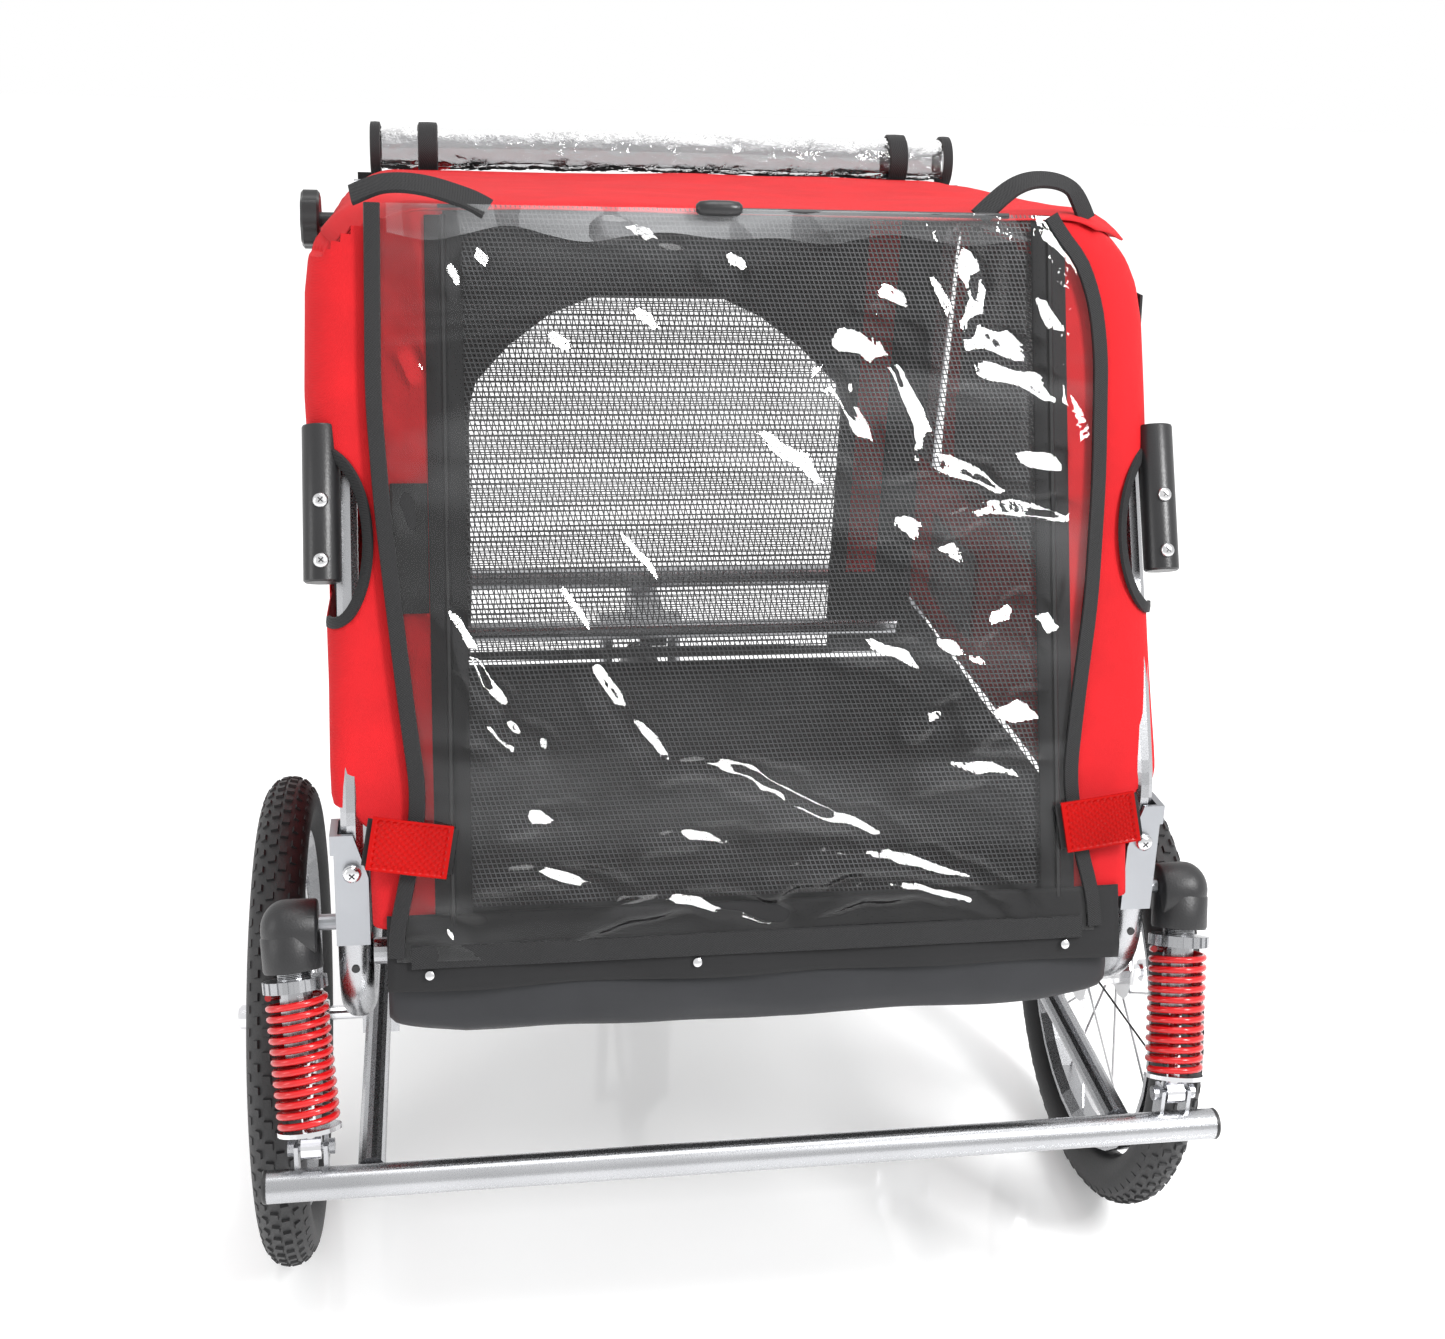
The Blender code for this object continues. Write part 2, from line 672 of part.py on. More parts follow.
def swing_arm(side_name, side):
    """A tube from the cross bar to a sleeve on the pivot rod, with the wheel axle's receiver under it."""
    x = side * ARM_X
    rear, front = BAR_Y + BAR_RADIUS + 0.0010, PIVOT_Y - 0.0080
    shape = bmesh.new()
    rod(shape, (x, rear, arm_z(rear)), (x, front, arm_z(front)), ARM_RADIUS)
    arm = solid("swing_arm_" + side_name, shape, SILVER)

    def sleeve(cutting):
        rod(cutting, (x - 0.0148, PIVOT_Y, PIVOT_Z), (x + 0.0148, PIVOT_Y, PIVOT_Z), 0.0125, 20)

    def receiver(cutting):
        block(cutting, (x - 0.0150, AXLE_Y - 0.0135, 0.1870), (x + 0.0150, AXLE_Y + 0.0135, arm_z(AXLE_Y)))

    def bores(cutting):
        rod(cutting, (x - 0.03, AXLE_Y, WHEEL_RADIUS), (x + 0.03, AXLE_Y, WHEEL_RADIUS), 0.0064)
        rod(cutting, (x - 0.03, PIVOT_Y, PIVOT_Z), (x + 0.03, PIVOT_Y, PIVOT_Z), 0.0046)

    weld(arm, cutter("sleeve_" + side_name, sleeve), cutter("receiver_" + side_name, receiver))
    last = arm.modifiers.new("bores", "BOOLEAN")
    last.operation = "DIFFERENCE"
    last.object = cutter("arm_bores_" + side_name, bores)
    return arm


def wheel_axle(side_name, side):
    """A quick-release axle with a button cap outside the hub."""
    outline = [(0, 0), (0, 0.0060), (0.1180, 0.0060), (0.1180, 0.0100), (0.1240, 0.0100), (0.1260, 0.0080)]
    outline.append((0.1260, 0))
    return lathe("wheel_axle_" + side_name, outline, (side * 0.2740, AXLE_Y, WHEEL_RADIUS), (side, 0, 0), CHROME)


def rear_cross_bar():
    """The round bar that carries both arms, with a clevis and its bolt at each end."""
    outline = [(0, 0), (0, BAR_RADIUS), (2 * BAR_HALF, BAR_RADIUS), (2 * BAR_HALF, 0)]
    beam = lathe("rear_cross_bar", outline, (-BAR_HALF, BAR_Y, BAR_Z), (1, 0, 0), SILVER, 24)
    x, y, z = SHOCK_LOWER

    def plates(cutting):
        for side in (-1, 1):
            for low in (x - 0.0118, x + 0.0088):
                near, far = sorted((side * low, side * (low + 0.0030)))
                block(cutting, (near, y - 0.0080, BAR_Z + 0.0040), (far, y + 0.0070, z + 0.0055))

    def bolts(cutting):
        for side in (-1, 1):
            outline = [(0, 0), (0, 0.0056), (0.0050, 0.0056), (0.0050, 0.0030), (0.0290, 0.0030), (0.0290, 0.0056)]
            outline += [(0.0330, 0.0056), (0.0330, 0)]
            lathe_shape(cutting, outline, (side * x - 0.0165, y, z), (1, 0, 0), 12)

    return weld(beam, cutter("clevis_plates", plates), cutter("clevis_bolts", bolts))


def tyre_outline(radius, section):
    """The tyre's round section, centred on its own wheel."""
    points = []
    for index in range(8):
        angle = math.radians(45 * index)
        points.append((section * math.sin(angle), radius - section + section * math.cos(angle)))
    return list(reversed(points))


def rim_outline(seat):
    """The rim's section below a tyre whose lowest point is at seat."""
    half = 0.0135
    points = [(-half, seat - 0.0012), (-half, seat - 0.0060), (-0.006, seat - 0.0130), (0.006, seat - 0.0130)]
    points += [(half, seat - 0.0060), (half, seat - 0.0012)]
    return list(reversed(points))


def spokes(centre, flange, rim, offset, count):
    """Fills a mesh with wire spokes from two hub flanges to the rim, leaning opposite ways on the two sides."""
    centre = Vector(centre)

    def fill(shape):
        for index in range(count):
            side = 1 if index % 2 else -1
            angle = 2 * math.pi * index / count
            lean = math.radians(50) * side
            inner = Vector((side * offset, flange * math.cos(angle + lean), flange * math.sin(angle + lean)))
            outer = Vector((side * 0.003, rim * math.cos(angle), rim * math.sin(angle)))
            rod(shape, centre + inner, centre + outer, 0.0012, 4)

    return fill


def hub_outline():
    line = [(-0.0285, 0.0066), (-0.0285, 0.0110), (-0.0222, 0.0130), (-0.0222, 0.0245), (-0.0188, 0.0245)]
    line.append((-0.0188, 0.0115))
    return line + [(-offset, radius) for offset, radius in reversed(line)]


def wheel(name, centre):
    """Tyre, rim, and the spoked hub of one rear wheel, turning about X."""
    seat = WHEEL_RADIUS - 2 * TYRE_SECTION_RADIUS
    tyre = turned("tyre_" + name, tyre_outline(WHEEL_RADIUS, TYRE_SECTION_RADIUS), centre, RUBBER, 32)
    rim = turned("rim_" + name, rim_outline(seat), centre, SILVER, 32)
    hub = turned("hub_" + name, hub_outline(), centre, STEEL, 12)
    return tyre, rim, weld(hub, cutter("spokes_" + name, spokes(centre, 0.0225, seat - 0.0138, 0.0205, 16)))


def front_wheel(centre):
    """The caster wheel: a tyre on a one-piece spoked wheel."""
    seat = CASTER_RADIUS - 2 * CASTER_SECTION_RADIUS
    tyre = turned("tyre_front", tyre_outline(CASTER_RADIUS, CASTER_SECTION_RADIUS), centre, RUBBER, 28)
    rim = turned("wheel_front", rim_outline(seat), centre, SILVER, 28)
    hub = turned("front_hub", hub_outline(), centre, STEEL, 12)
    guides.objects.link(hub)
    trailer.objects.unlink(hub)
    hub.hide_render = True
    hub.display_type = "WIRE"
    weld(rim, hub, cutter("spokes_front", spokes(centre, 0.0225, seat - 0.0100, 0.0205, 12)))
    return tyre, rim


def shock_point(side, distance):
    """A point on a shock's axis, measured up from its lower eye."""
    low, high = Vector(SHOCK_LOWER), Vector(SHOCK_UPPER)
    low.x *= side
    high.x *= side
    return low + (high - low).normalized() * distance


def shock_cap(side_name, side):
    """The rubber boot over the upper mount, rounded at its outer end."""
    radius = 0.0212
    outline = [(-0.0200, 0), (-0.0200, radius)]
    for index in range(5):
        angle = math.radians(18 * index)
        outline.append((0.0050 + 0.0155 * math.sin(angle), radius * math.cos(angle)))
    outline.append((0.0205, 0))
    start = (side * SHOCK_UPPER[0], SHOCK_UPPER[1], SHOCK_UPPER[2])
    return lathe("shock_cap_" + side_name, outline, start, (side, 0, 0), RUBBER, 24)


def shock_body(side_name, side):
    """The damper's cylinder with the spring's preload ring on it, bored for the rod."""
    shape = bmesh.new()
    rod(shape, shock_point(side, 0.0640), shock_point(side, 0.1330), 0.0117, 20)
    cylinder = solid("shock_body_" + side_name, shape, SILVER)

    def ring(cutting):
        rod(cutting, shock_point(side, 0.1120), shock_point(side, 0.1205), 0.0223, 24)

    def bore(cutting):
        rod(cutting, shock_point(side, 0.0540), shock_point(side, 0.1250), 0.0095, 20)

    weld(cylinder, cutter("ring_" + side_name, ring))
    last = cylinder.modifiers.new("bore", "BOOLEAN")
    last.operation = "DIFFERENCE"
    last.object = cutter("shock_bore_" + side_name, bore)
    return cylinder


def shock_spring(side_name, side):
    """The red coil between the lower seat and the preload ring."""
    low, high = 0.0175, 0.1088
    coil, wire = 0.0199, 0.0026
    axis = (shock_point(side, 1) - shock_point(side, 0)).normalized()
    first = axis.cross(Vector((0, 1, 0))).normalized()
    second = axis.cross(first)
    count = SPRING_TURNS * 8
    points = []
    for index in range(count + 1):
        share = index / count
        angle = 2 * math.pi * SPRING_TURNS * share
        centre = shock_point(side, low + (high - low) * share)
        points.append(centre + first * (coil * math.cos(angle)) + second * (coil * math.sin(angle)))
    return tube("spring_" + side_name, points, wire, RED_PAINT, 1)


def shock_rod(side_name, side):
    """The damper rod, the lower seat and the eye round the clevis bolt."""
    eye = Vector((side * SHOCK_LOWER[0], SHOCK_LOWER[1], SHOCK_LOWER[2]))
    shape = bmesh.new()
    rod(shape, eye - Vector((0.0070, 0, 0)), eye + Vector((0.0070, 0, 0)), 0.0085, 20)
    lower = solid("shock_rod_" + side_name, shape, CHROME)

    def extra(cutting):
        rod(cutting, shock_point(side, 0.0020), shock_point(side, 0.0980), 0.0050, 12)

    def seat(cutting):
        rod(cutting, shock_point(side, 0.0110), shock_point(side, 0.0142), 0.0227, 24)

    for key, fill in (("stem", extra), ("seat", seat)):
        join = lower.modifiers.new(key, "BOOLEAN")
        join.operation = "UNION"
        join.object = cutter(f"{key}_{side_name}", fill)

    def hole(cutting):
        rod(cutting, eye - Vector((0.02, 0, 0)), eye + Vector((0.02, 0, 0)), 0.0038, 12)

    return cut(lower, cutter("eye_hole_" + side_name, hole))


# Front wheel ---------------------------------------------------------------------------------

def caster_fork():
    """Steerer, crown, two legs that trail back, and the wheel's axle between them."""
    shape = bmesh.new()
    block(shape, (-0.0480, STEER_Y - 0.0140, 0.3130), (0.0480, STEER_Y + 0.0140, 0.3270))
    made = solid("caster_fork", shape, SILVER)
    axle = Vector((0, CASTER_Y, CASTER_RADIUS))
    top = Vector((0, STEER_Y, 0.3200))

    def steerer(cutting):
        rod(cutting, (0, STEER_Y, 0.3200), (0, STEER_Y, 0.3840), 0.0118, 20)

    def legs(cutting):
        for side in (-1, 1):
            out = Vector((side * 0.0400, 0, 0))
            rod(cutting, axle + out - Vector((0, 0, 0.012)), top + out, 0.0075, 12)

    def spindle(cutting):
        outline = [(0, 0), (0, 0.0080), (0.0060, 0.0080), (0.0060, 0.0050), (0.1000, 0.0050), (0.1000, 0.0080)]
        outline += [(0.1060, 0.0080), (0.1060, 0)]
        lathe_shape(cutting, outline, axle - Vector((0.0530, 0, 0)), (1, 0, 0), 12)

    return weld(made, cutter("steerer", steerer), cutter("fork_legs", legs), cutter("fork_spindle", spindle))


# Tow arm -------------------------------------------------------------------------------------

def tow_arm():
    """The tube that lies across the front when stowed: pivot eye, tube, and the forked hitch end."""
    shape = bmesh.new()
    start, tip = -RAIL_X, TOW_REACH - RAIL_X
    rod(shape, (start, TOW_Y, TOW_Z - 0.0180), (start, TOW_Y, TOW_Z + 0.0180), 0.0125, 20)
    arm = solid("tow_arm", shape, SILVER)

    def run(cutting):
        rod(cutting, (start + 0.004, TOW_Y, TOW_Z), (tip - 0.0250, TOW_Y, TOW_Z), 0.0118, 20)

    def end(cutting):
        block(cutting, (tip - 0.0300, TOW_Y - 0.0110, TOW_Z - 0.0125), (tip + 0.0140, TOW_Y + 0.0110, TOW_Z + 0.0125))

    def holes(cutting):
        rod(cutting, (start, TOW_Y, TOW_Z - 0.03), (start, TOW_Y, TOW_Z + 0.03), 0.0056, 12)
        rod(cutting, (tip, TOW_Y, TOW_Z - 0.03), (tip, TOW_Y, TOW_Z + 0.03), 0.0042, 12)

    def jaw(cutting):
        block(cutting, (tip - 0.0180, TOW_Y - 0.020, TOW_Z - 0.0070), (tip + 0.0300, TOW_Y + 0.020, TOW_Z + 0.0070))

    weld(arm, cutter("tow_run", run), cutter("tow_end", end))
    for name, fill in (("tow_jaw", jaw), ("tow_holes", holes)):
        last = arm.modifiers.new(name, "BOOLEAN")
        last.operation = "DIFFERENCE"
        last.object = cutter(name, fill)
    return arm


def tow_pivot_bolt():
    outline = [(0, 0), (0, 0.0080), (0.0050, 0.0080), (0.0050, 0.0050), (0.0567, 0.0050), (0.0567, 0.0080)]
    outline += [(0.0610, 0.0080), (0.0610, 0)]
    return lathe("tow_pivot_bolt", outline, (-RAIL_X, TOW_Y, 0.3727), (0, 0, 1), STEEL)


def hitch_pin():
    """The pin through the forked end, with a round head."""
    outline = [(0, 0), (0, 0.0036), (0.0285, 0.0036), (0.0285, 0.0075), (0.0315, 0.0075), (0.0315, 0)]
    return lathe("hitch_pin", outline, (TOW_REACH - RAIL_X, TOW_Y, TOW_Z - 0.0150), (0, 0, 1), CHROME, 12)


# Assembly ------------------------------------------------------------------------------------

root = body("root", (0, 0, 0))
section = oval_section()
attach(root, cross_tube("rear_cross_tube", REAR_LEG_Y), cross_tube("front_cross_tube", FRONT_LEG_Y))
attach(root, floor_panel(), lower_tub(), rear_pad(), pivot_rod(), head_tube(), tow_pivot_bolt())
attach(root, roof_panel(), rear_door(), rear_cover(), front_panel(), cover_roll())
attach(body("roof_bar", (0, ROOF_BAR_Y, 0.852)), roof_bar())
attach(body("zip_toggle", (-0.027, AXLE_Y - 0.0775, 0.8825)), zip_toggle())
attach(body("caster", (0, STEER_Y, 0.32)), caster_fork())
attach(body("tow_arm", (-RAIL_X, TOW_Y, TOW_Z)), tow_arm())
attach(body("hitch_pin", (TOW_REACH - RAIL_X, TOW_Y, TOW_Z)), hitch_pin())
front_centre = (0, CASTER_Y, CASTER_RADIUS)
attach(body("front_wheel", front_centre), *front_wheel(front_centre))
swing = body("swing_arm", (0, PIVOT_Y, PIVOT_Z))
attach(swing, rear_cross_bar())

for side_name, side_sign in SIDES:
    attach(root, base_rail(side_name, side_sign), hinge_bolt(side_name, side_sign))
    attach(root, reflector(side_name, side_sign), arm_hanger(side_name, side_sign))
    for end_name, leg_y in (("rear", REAR_LEG_Y), ("front", FRONT_LEG_Y)):
        attach(root, hinge_bracket(end_name, side_name, side_sign, leg_y))
    attach(swing, swing_arm(side_name, side_sign), wheel_axle(side_name, side_sign))
    hoop_body = body("hoop_" + side_name, (side_sign * RAIL_X, REAR_LEG_Y, HINGE_Z))
    attach(hoop_body, side_hoop(side_name, side_sign, section), side_panel(side_name, side_sign))
    attach(hoop_body, handlebar_socket(side_name, side_sign))
    knob_body = body("knob_" + side_name, (side_sign * 0.32, AXLE_Y + 0.160, 0.8400))
    attach(knob_body, clamp_knob(side_name, side_sign))
    wheel_centre = (side_sign * TRACK_HALF, AXLE_Y, WHEEL_RADIUS)
    attach(body("wheel_" + side_name, wheel_centre), *wheel(side_name, wheel_centre))
    upper = (side_sign * SHOCK_UPPER[0], SHOCK_UPPER[1], SHOCK_UPPER[2])
    shock_pieces = [shock_cap(side_name, side_sign), shock_body(side_name, side_sign)]
    shock_pieces.append(shock_spring(side_name, side_sign))
    attach(body("shock_" + side_name, upper), *shock_pieces)
    lower = (side_sign * SHOCK_LOWER[0], SHOCK_LOWER[1], SHOCK_LOWER[2])
    attach(body("shock_rod_" + side_name, lower), shock_rod(side_name, side_sign))
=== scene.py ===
"""The looks of the bicycle trailer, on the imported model's frame. Metres, +Z up, +Y forwards, +X right."""

import json
import math

import bmesh
import bpy
import numpy as np
from mathutils import Matrix, Vector, noise


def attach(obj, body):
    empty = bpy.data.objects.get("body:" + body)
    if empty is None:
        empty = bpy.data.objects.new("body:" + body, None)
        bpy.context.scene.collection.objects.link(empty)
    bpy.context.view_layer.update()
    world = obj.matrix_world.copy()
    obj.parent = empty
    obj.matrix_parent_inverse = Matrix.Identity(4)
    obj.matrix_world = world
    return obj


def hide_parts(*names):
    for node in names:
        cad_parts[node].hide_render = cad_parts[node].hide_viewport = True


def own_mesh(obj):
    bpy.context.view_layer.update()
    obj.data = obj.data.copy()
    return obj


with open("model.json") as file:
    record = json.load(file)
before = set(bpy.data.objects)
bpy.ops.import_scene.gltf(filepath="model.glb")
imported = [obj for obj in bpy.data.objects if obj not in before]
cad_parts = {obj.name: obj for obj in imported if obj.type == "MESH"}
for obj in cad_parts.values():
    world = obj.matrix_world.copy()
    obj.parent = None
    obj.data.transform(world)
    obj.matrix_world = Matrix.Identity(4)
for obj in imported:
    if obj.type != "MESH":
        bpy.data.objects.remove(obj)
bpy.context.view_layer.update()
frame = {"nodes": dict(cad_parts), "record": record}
scene = bpy.context.scene

AXLE_Y = -0.245
FACE_Y = AXLE_Y - 0.235
FACE_Z = 0.360
LEAN = math.tan(math.radians(18.5))
SIDES = (("left", -1), ("right", 1))
RAIL_X = 0.2915
ROOF_REAR = -0.3080
WELD = 0.00001
SHOCK_LOWER = (0.3248, AXLE_Y - 0.240, 0.2350)
SHOCK_UPPER = (0.3386, AXLE_Y - 0.179, 0.3780)
EYE = Vector((-0.222, -1.637, 1.034))
KEY = Vector((1.45, -1.95, 2.25))


# Camera and light ----------------------------------------------------------------------------

def make_camera():
    yaw, pitch, roll = (math.radians(angle) for angle in (10.17, 18.66, 2.32))
    forward = Vector((math.sin(yaw) * math.cos(pitch), math.cos(yaw) * math.cos(pitch), -math.sin(pitch)))
    right = Vector((math.cos(yaw), -math.sin(yaw), 0))
    up = right.cross(forward)
    right, up = (
        right * math.cos(roll) + up * math.sin(roll),
        up * math.cos(roll) - right * math.sin(roll),
    )
    data = bpy.data.cameras.new("camera")
    data.sensor_width = 36
    data.lens = 45.72
    data.shift_x = -0.0257
    data.shift_y = -0.0442
    camera = bpy.data.objects.new("camera", data)
    place = Matrix((right, up, -forward)).transposed().to_4x4()
    place.translation = EYE
    camera.matrix_world = place
    scene.collection.objects.link(camera)
    scene.camera = camera


def area_light(name, place, target, size, power):
    data = bpy.data.lights.new(name, "AREA")
    data.shape = "RECTANGLE"
    data.size, data.size_y = size
    data.energy = power
    light = bpy.data.objects.new(name, data)
    way = Vector(target) - Vector(place)
    light.matrix_world = Matrix.Translation(place) @ way.to_track_quat("-Z", "Y").to_matrix().to_4x4()
    scene.collection.objects.link(light)


def make_world():
    world = bpy.data.worlds.new("studio")
    scene.world = world
    world.use_nodes = True
    back = world.node_tree.nodes["Background"]
    back.inputs["Color"].default_value = (1, 1, 1, 1)
    back.inputs["Strength"].default_value = 1.0
    scene.view_settings.view_transform = "Standard"
    area_light("key", KEY, (0.05, -0.4, 0.62), (0.55, 0.95), 66)
    area_light("top", (0.3, -0.4, 3.2), (0.0, -0.1, 0.8), (1.6, 1.2), 26)
    area_light("left", (-3.0, -1.2, 1.3), (0, -0.2, 0.5), (0.7, 1.6), 16)


# Materials -----------------------------------------------------------------------------------

class Nodes:
    """Small helper for building a node tree."""

    def __init__(self, name):
        self.material = bpy.data.materials.new(name)
        self.material.use_nodes = True
        self.tree = self.material.node_tree
        self.shader = self.tree.nodes["Principled BSDF"]
        self.output = self.tree.nodes["Material Output"]
        self.place = self.tree.nodes.new("ShaderNodeTexCoord").outputs["Object"]

    def new(self, kind, **inputs):
        node = self.tree.nodes.new("ShaderNode" + kind)
        for key, value in inputs.items():
            numbered = key[0] == "i" and key[1:].isdigit()
            socket = node.inputs[int(key[1:]) if numbered else key.replace("_", " ")]
            if isinstance(value, bpy.types.NodeSocket):
                self.tree.links.new(value, socket)
            else:
                socket.default_value = value
        return node

    def math(self, operation, a, b=0.0):
        node = self.new("Math", i0=a, i1=b)
        node.operation = operation
        return node.outputs[0]

    def noise(self, scale, detail=3.0, rough=0.5):
        return self.new("TexNoise", Vector=self.place, Scale=scale, Detail=detail, Roughness=rough).outputs["Fac"]

    def ramp(self, value, stops):
        node = self.new("ValToRGB", Fac=value)
        for index, (position, colour) in enumerate(stops):
            if index < 2:
                stop = node.color_ramp.elements[index]
                stop.position = position
            else:
                stop = node.color_ramp.elements.new(position)
            stop.color = (*colour, 1)
        return node.outputs["Color"]

    def bump(self, height, strength, distance):
        node = self.new("Bump", Height=height, Strength=strength, Distance=distance)
        self.tree.links.new(node.outputs["Normal"], self.shader.inputs["Normal"])
        return node.outputs["Normal"]

    def link(self, value, socket):
        self.tree.links.new(value, self.shader.inputs[socket])

    def set(self, **values):
        for key, value in values.items():
            self.shader.inputs[key.replace("_", " ")].default_value = value


def shade(colour, factor):
    return tuple(min(1, part * factor) for part in colour)


def metal(name, colour, rough, grain=900, bump=0.05):
    made = Nodes(name)
    made.set(Metallic=1.0)
    fine = made.noise(grain, 4)
    broad = made.noise(9, 3)
    made.link(made.ramp(broad, ((0.3, shade(colour, 0.9)), (0.7, shade(colour, 1.06)))), "Base Color")
    rough_node = made.new("MapRange", Value=fine)
    rough_node.inputs["To Min"].default_value = rough * 0.75
    rough_node.inputs["To Max"].default_value = rough * 1.3
    made.link(rough_node.outputs[0], "Roughness")
    made.bump(fine, bump, 0.0004)
    return made.material


def plastic(name, colour, rough, bump=0.25, coat=0.0, grain=700):
    made = Nodes(name)
    fine = made.noise(grain, 3)
    broad = made.noise(14, 2)
    made.link(made.ramp(broad, ((0.3, shade(colour, 0.85)), (0.7, shade(colour, 1.15)))), "Base Color")
    rough_node = made.new("MapRange", Value=fine)
    rough_node.inputs["To Min"].default_value = rough * 0.8
    rough_node.inputs["To Max"].default_value = min(1, rough * 1.25)
    made.link(rough_node.outputs[0], "Roughness")
    made.set(Coat_Weight=coat)
    made.bump(fine, bump, 0.0004)
    return made.material


def weave_height(made, pitch):
    parts = made.new("SeparateXYZ", Vector=made.place)
    x, y, z = parts.outputs
    turn = 2 * math.pi / pitch
    across = made.math("SINE", made.math("MULTIPLY", made.math("ADD", x, y), turn))
    along = made.math("SINE", made.math("MULTIPLY", made.math("ADD", z, made.math("MULTIPLY", y, 0.31)), turn))
    return made.math("MULTIPLY", across, along)


def fabric(name, colour, rough=0.75, pitch=0.0013, bump=0.5, sheen=0.15, spread=(0.86, 1.08)):
    made = Nodes(name)
    weave = weave_height(made, pitch)
    broad = made.noise(26, 4)
    fuzz = made.noise(1500, 2)
    mixed = made.math("ADD", made.math("MULTIPLY", broad, 0.75), made.math("MULTIPLY", weave, 0.10))
    made.link(made.ramp(mixed, ((0.22, shade(colour, spread[0])), (0.62, shade(colour, spread[1])))), "Base Color")
    made.set(Roughness=rough, Sheen_Weight=sheen, Sheen_Roughness=0.5, Specular_IOR_Level=0.3)
    height = made.math("ADD", made.math("MULTIPLY", weave, 0.6), made.math("MULTIPLY", fuzz, 0.8))
    made.bump(height, bump, 0.00035)
    return made.material


def netting(name, colour, pitch, open_share, rough=0.5, tone=1.0):
    """Open mesh fabric: threads both ways with clear holes between."""
    made = Nodes(name)
    parts = made.new("SeparateXYZ", Vector=made.place)
    x, y, z = parts.outputs
    turn = math.pi / pitch
    across = made.math("ABSOLUTE", made.math("SINE", made.math("MULTIPLY", made.math("ADD", x, y), turn)))
    along = made.math("ABSOLUTE", made.math("SINE", made.math("MULTIPLY", z, turn * 1.05)))
    edge = math.sin(math.pi / 2 * (1 - open_share))
    hole = made.math("MULTIPLY", made.math("GREATER_THAN", across, edge), made.math("GREATER_THAN", along, edge))
    broad = made.noise(40, 3)
    made.link(made.ramp(broad, ((0.3, shade(colour, 0.8)), (0.7, shade(colour, 1.25)))), "Base Color")
    made.set(Roughness=rough)
    made.bump(made.math("ADD", across, along), 0.3, 0.0004)
    clear = made.new("BsdfTransparent")
    mix = made.new("MixShader", Fac=made.math("MULTIPLY", hole, tone))
    made.tree.links.new(made.shader.outputs[0], mix.inputs[1])
    made.tree.links.new(clear.outputs[0], mix.inputs[2])
    made.tree.links.new(mix.outputs[0], made.output.inputs["Surface"])
    return made.material


def vinyl(name, milk=(0.0, 0.045), wrinkle=0.0016, ior=1.42, tint=0.98):
    """Clear vinyl film: almost transparent, with sharp gloss on its wrinkles and faint milky sweeps."""
    made = Nodes(name)
    soft = made.noise(14, 2, 0.45)
    fine = made.noise(48, 3, 0.55)
    height = made.math("ADD", soft, made.math("MULTIPLY", fine, 0.35))
    bump = made.new("Bump", Height=height, Strength=1.0, Distance=wrinkle)
    gloss = made.new("BsdfGlossy", Color=(1, 1, 1, 1), Roughness=0.03, Normal=bump.outputs["Normal"])
    clear = made.new("BsdfTransparent", Color=(tint, tint, tint * 1.004, 1))
    haze = made.new("BsdfDiffuse", Color=(0.9, 0.92, 0.94, 1))
    stretch = made.new("Mapping", Vector=made.place)
    stretch.inputs["Rotation"].default_value = (0, -0.45, 0)
    stretch.inputs["Scale"].default_value = (1.6, 3.0, 9.0)
    sweep = made.new("TexNoise", Vector=stretch.outputs[0], Scale=1.4, Detail=3.0, Distortion=0.8)
    cloud = made.new("MapRange", Value=sweep.outputs["Fac"])
    for socket, value in zip(("From Min", "From Max", "To Min", "To Max"), (0.46, 0.74, *milk)):
        cloud.inputs[socket].default_value = value
    body = made.new("MixShader", Fac=cloud.outputs[0])
    made.tree.links.new(clear.outputs[0], body.inputs[1])
    made.tree.links.new(haze.outputs[0], body.inputs[2])
    fresnel = made.new("Fresnel", IOR=ior, Normal=bump.outputs["Normal"])
    mix = made.new("MixShader", Fac=fresnel.outputs[0])
    made.tree.links.new(body.outputs[0], mix.inputs[1])
    made.tree.links.new(gloss.outputs[0], mix.inputs[2])
    made.tree.links.new(mix.outputs[0], made.output.inputs["Surface"])
    made.tree.nodes.remove(made.shader)
    return made.material


SILVER = metal("anodised_silver", (0.44, 0.445, 0.46), 0.27)
GREY = metal("bracket_grey", (0.36, 0.37, 0.39), 0.34)
CHROME = metal("bright_chrome", (0.80, 0.80, 0.82), 0.10, bump=0.02)
STEEL = metal("zinc_steel", (0.66, 0.66, 0.67), 0.22)
RED = fabric("red_canvas", (0.57, 0.0065, 0.0110), 0.78, sheen=0.0)
RED_DARK = fabric("red_lining", (0.44, 0.005, 0.009), 0.8, sheen=0.0)
BLACK = fabric("black_cloth", (0.010, 0.010, 0.011), 0.62, 0.0011, 0.4, 0.05)
WEBBING = fabric("black_webbing", (0.012, 0.012, 0.013), 0.6, 0.0022, 0.8, 0.06)
PAD = fabric("pad_cloth", (0.022, 0.023, 0.026), 0.55, 0.0010, 0.35, 0.08)
RED_PAINT = plastic("red_powder_coat", (0.50, 0.005, 0.007), 0.20, 0.08, 0.2)
PLASTIC = plastic("black_moulding", (0.012, 0.012, 0.013), 0.33, 0.3)
RUBBER = plastic("black_rubber", (0.014, 0.014, 0.015), 0.42, 0.5)
TYRE = plastic("tyre_rubber", (0.020, 0.020, 0.021), 0.55, 0.6)
LENS = plastic("red_lens", (0.36, 0.0030, 0.0025), 0.22, 0.1, 0.0)
LENS.node_tree.nodes["Principled BSDF"].inputs["Specular IOR Level"].default_value = 0.12
MESH_DOOR = netting("door_mesh", (0.036, 0.037, 0.040), 0.0034, 0.74)
MESH_WINDOW = netting("window_mesh", (0.05, 0.05, 0.055), 0.0062, 0.80)
